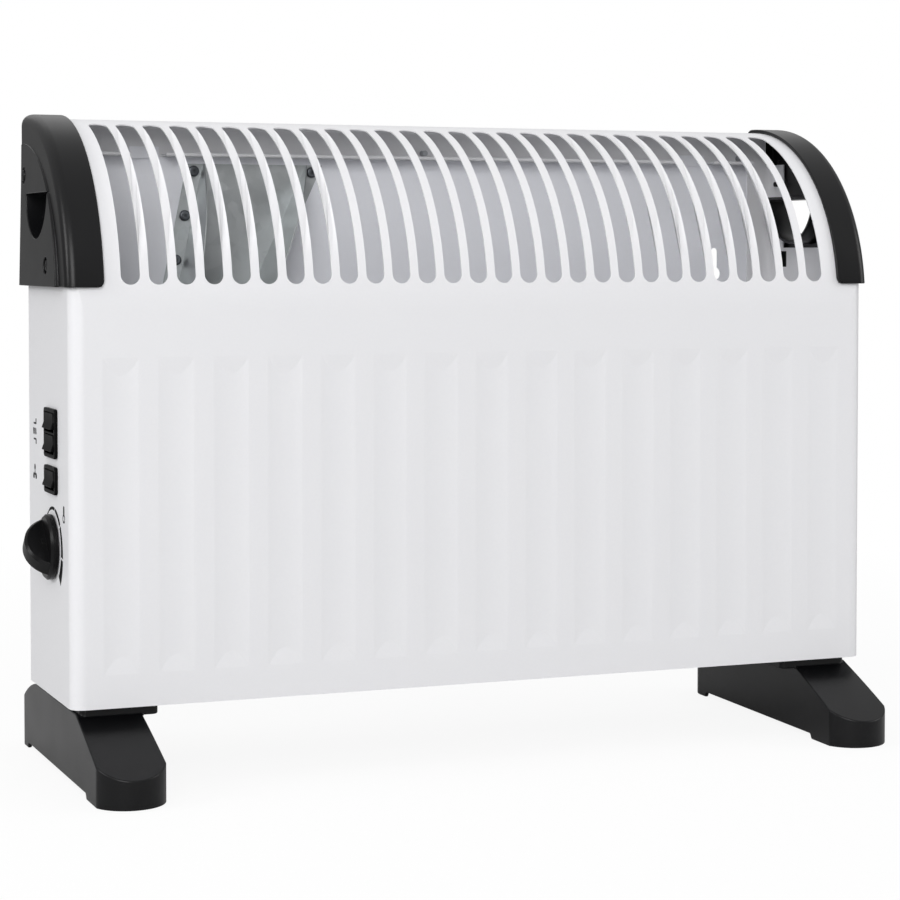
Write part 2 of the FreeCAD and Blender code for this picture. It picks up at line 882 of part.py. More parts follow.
def shaft_solid(grow):
    """Control shaft with a flat on the end that carries the knob."""
    radius = shaft_radius + grow
    foot = Vector(wall_x + shaft_depth, control_y, knob_z)
    shaft = rod(foot, X_AXIS * -1, radius, shaft_depth + shaft_proud + grow)
    flat = shaft_radius - shaft_flat + grow
    end = wall_x - bush_proud - knob_gap
    return shaft.cut(block((end, end - shaft_proud), (control_y - 2 * radius, control_y + 2 * radius),
                           (knob_z + flat, knob_z + 2 * radius)))


def thermostat_knob():
    """Knob with a round skirt, a turned grip bar and a recess over the nut."""
    foot = Vector(wall_x - knob_gap, control_y, knob_z)
    out = X_AXIS * -1
    skirt = rod(foot, out, knob_radius, knob_skirt)
    edge = [e for e in skirt.Edges if e.BoundBox.XMax < foot.x - knob_skirt / 2
            and e.BoundBox.ZLength > knob_radius]
    skirt = skirt.makeChamfer(knob_edge, edge)
    reach = knob_radius - knob_grip_margin
    half = knob_grip_width / 2
    bar = block((foot.x - knob_floor, wall_x - knob_proud), (control_y - half, control_y + half),
                (knob_z - reach, knob_z + reach))
    rise = knob_proud - knob_gap - knob_skirt / 2
    dome = (reach ** 2 + rise ** 2) / (2 * rise)
    hub = Vector(wall_x - knob_proud + dome, control_y - half, knob_z)
    bar = bar.common(rod(foot, out, reach, 2 * knob_proud)).common(rod(hub, Y_AXIS, dome, knob_grip_width))
    crest = [e for e in bar.Edges if abs(e.BoundBox.XMin - wall_x + knob_proud) < knob_edge
             and e.BoundBox.YLength < CLOSED]
    bar = bar.makeChamfer(knob_edge, crest)
    bar.rotate(foot, X_AXIS, -knob_turn)
    recess = rod(foot, out, knob_recess_radius, knob_skirt - knob_floor)
    core = rod(foot + out * (bush_proud + knob_gap / 2), out, shaft_radius + 2 * knob_floor, knob_skirt)
    return fused([skirt.cut(recess), bar.cut(recess), core]).cut(shaft_solid(shaft_gap))


def thermostat_shaft():
    """Shaft between the thermostat and the knob."""
    return shaft_solid(0)


def thermostat_body():
    """Thermostat with its mounting flange, threaded bush and two blades."""
    inside = wall_x + sheet
    half = thermostat_width / 2
    tall = thermostat_height / 2
    flange_end = inside + thermostat_flange
    flange = block((inside, flange_end), (control_y - half, control_y + half),
                   (knob_z - tall - thermostat_ear, knob_z + tall + thermostat_ear))
    case = block((flange_end, flange_end + thermostat_depth), (control_y - half, control_y + half),
                 (knob_z - tall, knob_z + tall))
    bush = rod(Vector(inside, control_y, knob_z), X_AXIS * -1, bush_radius, sheet + bush_proud)
    blades = []
    for side in (-1, 1):
        y = control_y + side * half / 2
        blades.append(block((flange_end + thermostat_depth, flange_end + thermostat_depth + blade_length),
                            (y - blade_width / 2, y + blade_width / 2),
                            (knob_z - sheet / 2, knob_z + sheet / 2)))
    bore = rod(Vector(wall_x - 2 * bush_proud, control_y, knob_z), X_AXIS, shaft_radius + shaft_gap,
               2 * bush_proud + shaft_depth + shaft_gap)
    return fused([flange, case, bush] + blades).cut(bore)


def thermostat_nut():
    """Nut on the thermostat's bush, under the knob."""
    corner = nut_width / 2 / math.cos(math.pi / nut_sides)
    points = [polar((control_y, knob_z), corner, 4 * QUARTER * i / nut_sides) for i in range(nut_sides)]
    nut = prism(outline(points, yz), X_AXIS, wall_x - nut_thickness, wall_x)
    foot = Vector(wall_x - bush_proud, control_y, knob_z)
    return nut.cut(rod(foot, X_AXIS, bush_radius + screw_gap, 2 * bush_proud))


def bay_depth():
    """Front and rear limits of what stands between the tray's upturned edges."""
    inset = tray_gap + sheet + shield_gap
    return (inner_front + inset, inner_rear - inset)


def control_shield():
    """Upright sheet between the control bay and the heated space, with a foot and a hole for the leads."""
    wall = block((bay_x, bay_x + sheet), bay_depth(), (tray_top, tray_top + shield_height))
    foot = block((bay_x, bay_x + shield_foot), bay_depth(), (tray_top, tray_top + sheet))
    hole = rod(Vector(bay_x - sheet, 0, tray_top + lead_hole_rise), X_AXIS, lead_hole_radius, 3 * sheet)
    return fused([wall, foot]).cut(hole)


def terminal_block():
    """Three-way screw terminal on the tray."""
    x = wall_x + bay_width / 2
    way = (terminal_length - (terminal_ways - 1) * terminal_gap) / terminal_ways
    half = terminal_width / 2
    base = block((x - half, x + half), (-terminal_length / 2, terminal_length / 2),
                 (tray_top, tray_top + terminal_base))
    pieces = [base]
    for i in range(terminal_ways):
        y = -terminal_length / 2 + i * (way + terminal_gap)
        tower = block((x - half, x + half), (y, y + way), (tray_top, tray_top + terminal_height))
        centre = Vector(x, y + way / 2, tray_top + terminal_height / 2)
        pieces.append(tower.cut(rod(centre, Z_AXIS, screw_radius + screw_gap, terminal_height)))
    return fused(pieces)


def cord_bush():
    """Round bush with a flange outside the rear panel, where the supply cord enters."""
    seat = cord_seat() + Y_AXIS * sheet
    inward = Y_AXIS * -1
    flange = rod(seat, Y_AXIS, cord_bush_flange, cord_bush_lip)
    rim = [e for e in flange.Edges if e.BoundBox.YMin > seat.y + cord_bush_lip / 2
           and e.BoundBox.XLength > cord_bush_lip]
    flange = flange.makeChamfer(cord_bush_lip / 2, rim)
    neck = rod(seat, inward, cord_bush_radius, sheet + 2 * cord_bush_lip)
    bore = rod(seat + inward * cord_bush_flange, Y_AXIS, cord_bush_bore, 2 * cord_bush_flange)
    return fused([flange, neck]).cut(bore)


def element_places():
    """Side-view centres of the two heating elements."""
    return [(side * element_spread / 2, element_z) for side in (-1, 1)]


def heating_element(place):
    """Extruded finned element with a star section."""
    centre = Vector(element_left, *place)
    span = (element_left, element_right)
    pieces = [rod(centre, X_AXIS, element_hub, element_length)]
    fin = element_fin / 2
    for i in range(2):
        arm = block(span, (place[0] - fin, place[0] + fin), (place[1] - element_arm, place[1] + element_arm))
        arm.rotate(centre, X_AXIS, (i + 0.5) * QUARTER)
        pieces.append(arm)
    for i in range(4):
        rib = block(span, (place[0] - element_rib, place[0] + element_rib),
                    (place[1] + element_rib_reach - fin, place[1] + element_rib_reach + fin))
        rib.rotate(centre, X_AXIS, (i + 0.5) * QUARTER)
        pieces.append(rib)
    return fused(pieces)


def front_heating_element():
    """Element switched by the upper rocker."""
    return heating_element(element_places()[0])


def rear_heating_element():
    """Element switched by the lower rocker."""
    return heating_element(element_places()[1])


def element_ends():
    """End faces of the elements with the direction away from them."""
    return [(Vector(x, *place), axis) for place in element_places()
            for x, axis in ((element_left, X_AXIS * -1), (element_right, X_AXIS))]


def element_insulators():
    """Ceramic collars on the ends of the elements."""
    collars = []
    for end, axis in element_ends():
        collars.append(fused([
            rod(end, axis, insulator_collar, insulator_collar_length),
            rod(end, axis, insulator_radius, insulator_length),
        ]))
    return Part.makeCompound(collars)


def element_pins():
    """Connection pins at the outer ends of the collars."""
    return Part.makeCompound([rod(end + axis * insulator_length, axis, pin_radius, pin_length)
                              for end, axis in element_ends()])


def element_bracket(side):
    """Bent sheet that carries the element ends on the tray."""
    seat = element_right if side > 0 else element_left
    plate_x = seat + side * insulator_collar_length
    half = bracket_depth / 2
    plate = block((plate_x, plate_x + side * sheet), (-half, half), (tray_top, element_z + bracket_head))
    foot = block((plate_x + side * sheet, plate_x - side * bracket_foot), (-half, half),
                 (tray_top, tray_top + sheet))
    holes = []
    for place in element_places():
        holes.append(rod(Vector(plate_x - sheet, *place), X_AXIS, insulator_radius + bracket_gap, 3 * sheet))
    return fused([plate, foot]).cut(holes)


def left_element_bracket():
    """Bracket beside the fan."""
    return element_bracket(-1)


def right_element_bracket():
    """Bracket beside the right wall."""
    return element_bracket(1)


def thermal_cutout():
    """Disc-shaped thermal cut-out on the right bracket, between the elements."""
    seat = Vector(element_right + insulator_collar_length, 0, element_z)
    inward = X_AXIS * -1
    back = seat + inward * cutout_height
    blades = []
    for side in (-1, 1):
        y = side * cutout_radius / 2
        blades.append(block((back.x, back.x - blade_length), (y - sheet / 2, y + sheet / 2),
                            (element_z - blade_width / 2, element_z + blade_width / 2)))
    return fused([rod(seat, inward, cutout_radius, cutout_flange),
                  rod(seat, inward, cutout_radius - cutout_flange / 2, cutout_height)] + blades)


def scroll_face():
    """Side view of the blower's inside: a spiral that opens upwards."""
    centre = (fan_y, fan_z)
    radii = [scroll_radius + i * scroll_growth for i in range(4)]
    tongue = polar(centre, radii[0], scroll_tongue)
    return outline([
        (fan_y + radii[3], outlet_z),
        (fan_y + radii[3], fan_z),
        (polar(centre, (radii[3] + radii[2]) / 2, 2.5 * QUARTER), polar(centre, radii[2], 3 * QUARTER)),
        (polar(centre, (radii[2] + radii[1]) / 2, 3.5 * QUARTER), polar(centre, radii[1], 0)),
        (polar(centre, (radii[1] + radii[0]) / 2, scroll_tongue / 2), tongue),
        (tongue[0], outlet_z),
    ], yz)


def fan_scroll():
    """Sheet casing of the blower with an inlet on the right and a shaft hole on the left."""
    face = scroll_face()
    outer = prism(face.makeOffset2D(sheet), X_AXIS, cheek_x, fan_x + scroll_half + sheet)
    below = block((cheek_x - sheet, fan_x + 2 * scroll_half), (-body_depth, body_depth),
                  (body_bottom, outlet_z))
    space = prism(face, X_AXIS, fan_x - scroll_half, fan_x + scroll_half)
    cuts = [
        space,
        rod(Vector(fan_x, fan_y, fan_z), X_AXIS, inlet_ring_radius, 2 * scroll_half),
        rod(Vector(fan_x, fan_y, fan_z), X_AXIS * -1, 2 * fan_shaft_radius, 2 * scroll_half),
    ]
    return outer.common(below).cut(cuts)


def fan_wheel():
    """Blower wheel: back plate, hub, front ring and a ring of leaning blades."""
    left = fan_x - wheel_width / 2
    axis_foot = Vector(left, fan_y, fan_z)
    back = rod(axis_foot, X_AXIS, wheel_radius, wheel_rim)
    hub = rod(axis_foot, X_AXIS, wheel_hub_radius, wheel_hub)
    inner = wheel_radius - wheel_blade_chord
    front = axis_foot + X_AXIS * (wheel_width - wheel_rim)
    ring = rod(front, X_AXIS, wheel_radius, wheel_rim).cut(rod(front, X_AXIS, inner, wheel_rim))
    pieces = [back, hub, ring]
    for i in range(wheel_blades):
        middle = fan_z + wheel_radius - wheel_blade_chord / 2 - wheel_blade
        half = wheel_blade_chord / 2 - wheel_blade
        blade = block((left, left + wheel_width), (fan_y - wheel_blade / 2, fan_y + wheel_blade / 2),
                      (middle - half, middle + half))
        blade.rotate(Vector(left, fan_y, middle), X_AXIS, wheel_blade_lean)
        blade.rotate(axis_foot, X_AXIS, 4 * QUARTER * i / wheel_blades)
        pieces.append(blade)
    return fused(pieces).cut(rod(axis_foot, X_AXIS, fan_shaft_radius + fan_shaft_gap / 2, wheel_width))


def fan_shaft():
    """Motor shaft, from behind the motor into the wheel's hub."""
    start = stack_left - bridge_thickness - motor_standoff / 2
    end = fan_x - wheel_width / 2 + wheel_hub
    return rod(Vector(start, fan_y, fan_z), X_AXIS, fan_shaft_radius, end - start)


def fan_rotor():
    """Rotor of the shaded-pole motor."""
    foot = Vector(stack_left, fan_y, fan_z)
    rotor = rod(foot, X_AXIS, rotor_radius, motor_stack)
    return rotor.cut(rod(foot, X_AXIS, fan_shaft_radius + fan_shaft_gap / 2, motor_stack))


def coil_window():
    """Limits in y and z of the window above the motor's coil leg."""
    half = motor_window_width / 2
    top = fan_z - motor_window_drop
    return (fan_y - half, fan_y + half), (top - motor_window_height, top)


def motor_stack_plates():
    """Stator: a stack with a rotor bore and a window over the coil leg."""
    window_y, window_z = coil_window()
    half = motor_width / 2
    span = (stack_left, stack_right)
    stack = block(span, (fan_y - half, fan_y + half), (window_z[0] - motor_leg, fan_z + motor_head))
    bore = rod(Vector(stack_left, fan_y, fan_z), X_AXIS, rotor_radius + rotor_gap, motor_stack)
    return stack.cut([bore, block(span, window_y, window_z)])


def motor_coil():
    """Coil around the motor's lower leg."""
    window_y, window_z = coil_window()
    low = window_z[0] - motor_leg
    wound = block((stack_left - coil_build, stack_right + coil_build),
                  (window_y[0] + coil_gap, window_y[1] - coil_gap),
                  (low - coil_build, window_z[0] + coil_build))
    wound = wound.makeFillet(coil_build / 2, [e for e in wound.Edges if e.BoundBox.YLength > motor_leg])
    return wound.cut(block((stack_left, stack_right), window_y, (low, window_z[0])))


def motor_bridges():
    """Bearing bridges across both faces of the stator."""
    half = motor_width / 2
    tall = bridge_height / 2
    bridges = []
    for start in (stack_left - bridge_thickness, stack_right):
        strap = block((start, start + bridge_thickness), (fan_y - half, fan_y + half),
                      (fan_z - tall, fan_z + tall))
        bridges.append(strap.cut(rod(Vector(start, fan_y, fan_z), X_AXIS, fan_shaft_radius + fan_shaft_gap,
                                     bridge_thickness)))
    return Part.makeCompound(bridges)


def motor_posts():
    """Posts between the stator and the blower's cheek."""
    side = motor_width / 2 - motor_post_inset
    places = [(fan_y + y, fan_z + motor_head - motor_post_inset) for y in (-side, side)]
    places += [(fan_y + y, coil_window()[1][0] - motor_leg / 2) for y in (-side, side)]
    return Part.makeCompound([rod(Vector(stack_right, y, z), X_AXIS, motor_post_radius, motor_standoff)
                              for y, z in places])


def duct_sides(z):
    """Left and right limits of the duct at a height: it leans and widens upwards."""
    share = (z - outlet_z) / (duct_top - outlet_z)
    centre = fan_x - share * (fan_x + duct_top_offset)
    half = scroll_half + sheet + share * (duct_top_width / 2 - scroll_half - sheet)
    return (centre - half, centre + half)


def duct_solid(inset):
    """Duct as a full solid between the blower's outlet and its top edge."""
    tongue = polar((fan_y, fan_z), scroll_radius, scroll_tongue)[0] - sheet
    rings = []
    for z, front in ((outlet_z, tongue), (duct_top, duct_rear - duct_top_depth)):
        left, right = duct_sides(z)
        rings.append([
            Vector(left + inset, front + inset, z),
            Vector(right - inset, front + inset, z),
            Vector(right - inset, duct_rear - inset, z),
            Vector(left + inset, duct_rear - inset, z),
        ])
    low, high = rings
    walls = [[low[i - 1], low[i], high[i], high[i - 1]] for i in range(len(low))]
    faces = [Part.Face(Part.makePolygon(ring + ring[:1])) for ring in [low, high] + walls]
    return Part.Solid(Part.Shell(faces))


def duct_seats():
    """Seats of the duct's screws on its rear flanges."""
    seats = []
    for i in range(duct_screws_a_side):
        z = duct_top - duct_screw_drop - i * duct_screw_pitch
        left, right = duct_sides(z)
        for x in (left - duct_flange / 2, right + duct_flange / 2):
            seats.append(Vector(x, duct_rear - sheet, z))
    return seats


def fan_duct():
    """Galvanised outlet duct: flared sides with curved front edges, and flanges against the rear panel."""
    low_left, low_right = duct_sides(outlet_z)
    high_left, high_right = duct_sides(duct_top)
    flange = outline([
        (low_left - duct_flange, outlet_z),
        (low_right + duct_flange, outlet_z),
        (high_right + duct_flange, duct_top),
        (high_left - duct_flange, duct_top),
    ], xz)
    outer = fused([duct_solid(0), prism(flange, Y_AXIS, duct_rear - sheet, duct_rear)])
    front = -body_depth
    mouth_z = outlet_z + duct_front_rise
    mouth = outline([
        (duct_rear - sheet, duct_top),
        ((duct_rear - duct_waist_setback, duct_top - duct_waist_drop),
         (duct_rear - duct_mouth_setback, mouth_z)),
        (front, mouth_z),
        (front, body_top),
        (duct_rear - sheet, body_top),
    ], yz)
    cuts = [duct_solid(sheet), prism(mouth, X_AXIS, -half_width, half_width)]
    cuts += [screw_hole(seat, Y_AXIS, 2 * sheet) for seat in duct_seats()]
    return outer.cut(cuts)


def duct_screws():
    """Short screws that hold the duct to the rear panel."""
    return Part.makeCompound([screw(seat, Y_AXIS, 2 * sheet) for seat in duct_seats()])


def upper_heat_rocker():
    """Upper rocker of the double switch."""
    return rocker(rocker_heights(heat_switch_z, heat_rockers)[0])


def lower_heat_rocker():
    """Lower rocker of the double switch."""
    return rocker(rocker_heights(heat_switch_z, heat_rockers)[1])


def fan_rocker():
    """Rocker of the single switch."""
    return rocker(fan_switch_z)


def heat_switch_frame():
    """Frame of the double switch."""
    return switch_frame(heat_switch_z, heat_rockers)


def fan_switch_frame():
    """Frame of the single switch."""
    return switch_frame(fan_switch_z, fan_rockers)


NODES = (
    front_shell, rear_panel, bottom_tray, left_end_cap, right_end_cap, cap_screws, panel_screws,
    left_foot, right_foot, foot_screws,
    heat_switch_frame, upper_heat_rocker, lower_heat_rocker, fan_switch_frame, fan_rocker, switch_blades,
    thermostat_knob, thermostat_shaft, thermostat_body, thermostat_nut,
    control_shield, terminal_block, cord_bush,
    front_heating_element, rear_heating_element, element_insulators, element_pins,
    left_element_bracket, right_element_bracket, thermal_cutout,
    fan_scroll, fan_wheel, fan_shaft, fan_rotor, motor_stack_plates, motor_coil, motor_bridges, motor_posts,
    fan_duct, duct_screws,
)


def main():
    """Write one file for each node, with the part's origin under its middle."""
    os.makedirs("parts", exist_ok=True)
    for node in NODES:
        shape = node()
        shape.translate(X_AXIS * origin_shift)
        shape.exportStep(os.path.join("parts", node.__name__ + ".step"))


main()
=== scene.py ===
"""Looks of a convector heater: finishes, rounded mouldings, screw heads, printed marks and studio."""
import logging
import math
from abc import ABC, abstractmethod
from contextlib import contextmanager
from dataclasses import dataclass
from enum import Enum
from typing import Callable, Iterator, Optional, Union

import bpy
from mathutils import Matrix, Vector


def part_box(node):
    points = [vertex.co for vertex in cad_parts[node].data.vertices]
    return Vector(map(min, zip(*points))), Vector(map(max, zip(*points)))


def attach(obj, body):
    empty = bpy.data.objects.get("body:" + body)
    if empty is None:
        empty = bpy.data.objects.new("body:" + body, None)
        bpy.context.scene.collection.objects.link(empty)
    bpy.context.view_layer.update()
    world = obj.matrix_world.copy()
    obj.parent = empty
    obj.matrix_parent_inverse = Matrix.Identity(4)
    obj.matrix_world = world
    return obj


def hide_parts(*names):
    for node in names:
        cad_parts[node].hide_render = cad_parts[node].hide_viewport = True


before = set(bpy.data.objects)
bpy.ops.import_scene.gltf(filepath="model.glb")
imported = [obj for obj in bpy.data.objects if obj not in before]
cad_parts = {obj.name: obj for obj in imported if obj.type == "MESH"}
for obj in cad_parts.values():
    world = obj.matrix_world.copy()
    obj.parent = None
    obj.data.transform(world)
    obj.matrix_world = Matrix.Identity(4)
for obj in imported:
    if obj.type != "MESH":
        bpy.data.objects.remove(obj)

log = logging.getLogger("heater")

MM = 0.001
# Points closer than this, in metres, are one point.
MERGE = 1e-6
# A face faces a direction when its normal has more than this share along it.
FACING = 0.9
# Edges of new pieces that are sharper than this stay sharp.
SMOOTH_DEG = 35.0
WHITE = "#FFFFFF"

# Sockets of the mix node by place, because their names repeat for each kind of value.
MIX_SHARE, MIX_A, MIX_B, MIX_COLOUR_A, MIX_COLOUR_B = 0, 2, 3, 6, 7
MIX_VALUE_OUT, MIX_COLOUR_OUT = 0, 2

Key = Union[str, int]
Pair = tuple[float, float]
Triple = tuple[float, float, float]
Tree = bpy.types.NodeTree
Socket = bpy.types.NodeSocket
Piece = bpy.types.Object
Element = Union[bpy.types.MeshPolygon, bpy.types.MeshVertex]


class Body(Enum):
    """Groups of pieces that move together."""

    HOUSING = "housing"
    KNOB = "knob"
    UPPER_ROCKER = "upper_rocker"
    LOWER_ROCKER = "lower_rocker"
    FAN_ROCKER = "fan_switch_rocker"


class Slot(Enum):
    """Material slots of the record; Softened keeps one for each piece but does not assign it."""

    WHITE_STEEL = "white_steel"
    BLACK_PLASTIC = "black_plastic"
    BLACK_SWITCH = "black_switch"
    SCREW_STEEL = "screw_steel"


class Grain(Enum):
    """How a surface was made, which sets the pattern on it."""

    PEEL = "rounded skin of a baked powder coat"
    SPARK = "fine spark-eroded mould texture"
    SPANGLE = "crystals of hot-dip zinc"
    DRAWN = "lines along the direction of drawing or rolling"


class Pick(Enum):
    """Kinds of mesh element that a test can select."""

    FACES = "FACE"
    POINTS = "VERT"


# Octaves of the noise that draws a grain.
NOISE_DETAIL = {Grain.PEEL: 1.0, Grain.SPARK: 3.0, Grain.DRAWN: 2.0}


def linear(code: str) -> tuple[float, float, float, float]:
    """Turn an sRGB hex colour into linear values, by the curve of the sRGB standard.

    Args:
        code: six hex digits after a hash sign.

    Returns:
        Red, green, blue and a full alpha.
    """
    parts = [int(code[i:i + 2], 16) / 255 for i in (1, 3, 5)]
    red, green, blue = (c / 12.92 if c <= 0.04045 else ((c + 0.055) / 1.055) ** 2.4 for c in parts)
    return (red, green, blue, 1.0)


def add_node(tree: Tree, kind: str, settings: Optional[dict[Key, object]] = None,
             links: Optional[dict[Key, Socket]] = None) -> bpy.types.Node:
    """Add one shader node with its settings and its links.

    Args:
        tree: the material's or world's node tree.
        kind: the node's Blender type.
        settings: values by input socket or by node property.
        links: the output sockets that feed its inputs.

    Returns:
        The new node.
    """
    node = tree.nodes.new(kind)
    for key, value in (settings or {}).items():
        if isinstance(key, str) and hasattr(node, key):
            setattr(node, key, value)
        else:
            node.inputs[key].default_value = value
    for key, socket in (links or {}).items():
        tree.links.new(socket, node.inputs[key])
    return node


@dataclass(frozen=True)
class Finish:
    """One real material with its colours, gloss and surface pattern."""

    name: str
    colour: str
    second: str
    grain: Grain
    grain_mm: float
    relief_mm: float
    rough: Pair
    metallic: float = 0.0
    ior: float = 1.5
    shine: float = 0.5
    stretch: Triple = (1.0, 1.0, 1.0)
    grain_roughness: float = 0.55
    cloud_mm: float = 45.0
    cloud_detail: float = 2.0
    cloud_share: float = 0.5
    gloss_span: Pair = (0.25, 0.75)

    def material(self) -> bpy.types.Material:
        """Build the material once and return it.

        Returns:
            The material: grain in the bump and the gloss, a broad cloud in the colour.
        """
        found = bpy.data.materials.get(self.name)
        if found is not None:
            return found
        made = bpy.data.materials.new(self.name)
        made.use_nodes = True
        tree = made.node_tree
        shader = tree.nodes["Principled BSDF"]
        shader.inputs["Metallic"].default_value = self.metallic
        shader.inputs["IOR"].default_value = self.ior
        shader.inputs["Specular IOR Level"].default_value = self.shine
        place = add_node(tree, "ShaderNodeTexCoord").outputs["Object"]
        drawn = add_node(tree, "ShaderNodeMapping", {"Scale": self.stretch}, {"Vector": place})
        grain = self.pattern(tree, drawn.outputs["Vector"])
        cloud = add_node(tree, "ShaderNodeTexNoise",
                         {"Scale": 1 / (self.cloud_mm * MM), "Detail": self.cloud_detail},
                         {"Vector": place})
        mixed = add_node(tree, "ShaderNodeMix", {MIX_SHARE: self.cloud_share},
                         {MIX_A: grain, MIX_B: cloud.outputs["Fac"]})
        both = mixed.outputs[MIX_VALUE_OUT]
        tint = add_node(tree, "ShaderNodeMix",
                        {"data_type": "RGBA", MIX_COLOUR_A: linear(self.colour),
                         MIX_COLOUR_B: linear(self.second)},
                        {MIX_SHARE: both})
        tree.links.new(tint.outputs[MIX_COLOUR_OUT], shader.inputs["Base Color"])
        gloss = add_node(tree, "ShaderNodeMapRange",
                         {"From Min": self.gloss_span[0], "From Max": self.gloss_span[1],
                          "To Min": self.rough[0], "To Max": self.rough[1]},
                         {"Value": both})
        tree.links.new(gloss.outputs["Result"], shader.inputs["Roughness"])
        bump = add_node(tree, "ShaderNodeBump", {"Strength": 1.0, "Distance": self.relief_mm * MM},
                        {"Height": grain})
        tree.links.new(bump.outputs["Normal"], shader.inputs["Normal"])
        return made

    def pattern(self, tree: Tree, place: Socket) -> Socket:
        """Add the surface pattern.

        Args:
            tree: the material's node tree.
            place: the point on the piece.

        Returns:
            A value between 0 and 1.
        """
        scale = 1 / (self.grain_mm * MM)
        if self.grain is Grain.SPANGLE:
            cells = add_node(tree, "ShaderNodeTexVoronoi", {"Scale": scale, "Randomness": 1.0},
                             {"Vector": place})
            shades = add_node(tree, "ShaderNodeSeparateColor", None, {"Color": cells.outputs["Color"]})
            return shades.outputs["Red"]
        noise = add_node(tree, "ShaderNodeTexNoise",
                         {"Scale": scale, "Detail": NOISE_DETAIL[self.grain],
                          "Roughness": self.grain_roughness},
                         {"Vector": place})
        return noise.outputs["Fac"]


# Patterns whose real size is a few tenths of a millimetre are drawn coarser, so that they show.

# Baked polyester powder on sheet steel: white, satin, with a faint orange peel that softens
# highlights. The peel is drawn a little coarser than its real 1 mm.
WHITE_POWDER = Finish("white_powder_coat", "#E9E9EB", "#E4E4E7", Grain.PEEL,
                      grain_mm=1.6, relief_mm=0.01, rough=(0.36, 0.46), cloud_mm=70.0)
# The same powder on the rear panel, painted lighter than on the shell as painted light inside behind the
# grille, and a touch bluer as painted bluish shade.
WHITE_PANEL_PAINTED_LIGHT = Finish("white_powder_panel_painted_light", "#F7F8FD", "#F2F3F9", Grain.PEEL,
                     grain_mm=1.6, relief_mm=0.01, rough=(0.36, 0.46), cloud_mm=70.0)
# Moulded black polypropylene: charcoal with a spark-eroded skin and a broad soft sheen.
BLACK_MOULDING = Finish("black_polypropylene", "#0A0A0B", "#101012", Grain.SPARK,
                        grain_mm=0.7, relief_mm=0.012, rough=(0.27, 0.37), ior=1.49, shine=0.27)
# Smooth black ABS of the knob: darker than the large mouldings, with a fainter sheen.
BLACK_SWITCH = Finish("black_abs", "#070708", "#0C0C0D", Grain.SPARK,
                      grain_mm=0.5, relief_mm=0.005, rough=(0.26, 0.36), ior=1.53, shine=0.16,
                      cloud_mm=12.0)
# Half-matt black ABS of rockers and frames: the darkest of the mouldings, with hardly a sheen.
BLACK_ROCKER = Finish("matt_black_abs", "#050506", "#09090A", Grain.SPARK,
                      grain_mm=0.5, relief_mm=0.006, rough=(0.38, 0.5), ior=1.53, shine=0.06,
                      cloud_mm=12.0)
# Hot-dip galvanised sheet: pale bluish grey metal with flat crystals of slightly different gloss.
ZINC_SHEET = Finish("galvanised_sheet", "#AEB2B3", "#C4C7C8", Grain.SPANGLE,
                    grain_mm=7.0, relief_mm=0.004, rough=(0.36, 0.54), metallic=0.85)
# Black passivated zinc on the screws of the mouldings: nearly black with a dull metal gleam.
BLACK_ZINC = Finish("black_zinc_steel", "#101011", "#19191B", Grain.DRAWN,
                    grain_mm=0.4, relief_mm=0.004, rough=(0.34, 0.5), metallic=0.6, cloud_mm=5.0)
# Duct screws: the zinc plate painted dark grey as painted shade on them behind the grille, keeping a soft
# metal gleam.
SHADED_DUCT_ZINC = Finish("duct_zinc_painted_shade", "#5A5D61", "#6B6E72", Grain.DRAWN,
                     grain_mm=0.4, relief_mm=0.004, rough=(0.32, 0.46), metallic=1.0, cloud_mm=5.0)
# Bright zinc plate on screws, nut and posts: bluish silver with turning lines.
ZINC_PLATE = Finish("zinc_plated_steel", "#A9ACB0", "#BFC2C6", Grain.DRAWN,
                    grain_mm=0.4, relief_mm=0.004, rough=(0.24, 0.4), metallic=1.0, cloud_mm=5.0)
# Rolled brass of blades, pins and shaft: yellow metal, lightly dulled.
BRASS = Finish("rolled_brass", "#B8994F", "#CDAF66", Grain.DRAWN,
               grain_mm=0.6, relief_mm=0.003, rough=(0.28, 0.44), metallic=1.0, cloud_mm=6.0)
# Extruded bare aluminium of the elements: pale grey with die lines along the length.
ALUMINIUM = Finish("extruded_aluminium", "#B9BBBE", "#CBCDD0", Grain.DRAWN,
                   grain_mm=0.8, relief_mm=0.01, rough=(0.32, 0.48), metallic=1.0,
                   stretch=(0.02, 1.0, 1.0))
# Unglazed steatite collars: warm white and matt.
CERAMIC = Finish("steatite_ceramic", "#E4DFD2", "#EEEADF", Grain.SPARK,
                 grain_mm=0.9, relief_mm=0.02, rough=(0.6, 0.75), ior=1.6, cloud_mm=8.0)
# Cream nylon of the terminal block: slightly waxy.
NYLON = Finish("cream_nylon", "#D8CFB8", "#E2DAC6", Grain.SPARK,
               grain_mm=0.8, relief_mm=0.012, rough=(0.42, 0.55), ior=1.53, cloud_mm=10.0)
# Punched electrical sheet of stator and rotor: dark grey steel with stacked edges.
CORE_STEEL = Finish("electrical_sheet_steel", "#6A6C6E", "#7C7E80", Grain.DRAWN,
                    grain_mm=0.5, relief_mm=0.03, rough=(0.4, 0.55), metallic=0.9,
                    stretch=(4.0, 0.3, 0.3), cloud_mm=12.0)
# Enamelled copper winding: reddish brown, shiny varnish over fine turns.
COPPER_WIRE = Finish("enamelled_copper", "#7A3F1E", "#93522B", Grain.DRAWN,
                     grain_mm=0.5, relief_mm=0.05, rough=(0.25, 0.38), metallic=0.7,
                     stretch=(0.3, 3.0, 0.3), cloud_mm=10.0)
# Phenolic cases of thermostat and cut-out: dark brown and half matt.
PHENOLIC = Finish("brown_phenolic", "#3A2820", "#46322A", Grain.SPARK,
                  grain_mm=0.8, relief_mm=0.015, rough=(0.42, 0.56), ior=1.6, cloud_mm=15.0)
# Pad-printed black ink of the marks: flat and dense.
INK = Finish("printing_ink", "#0B0B0C", "#121214", Grain.SPARK,
             grain_mm=0.4, relief_mm=0.002, rough=(0.5, 0.62), shine=0.08, cloud_mm=6.0)


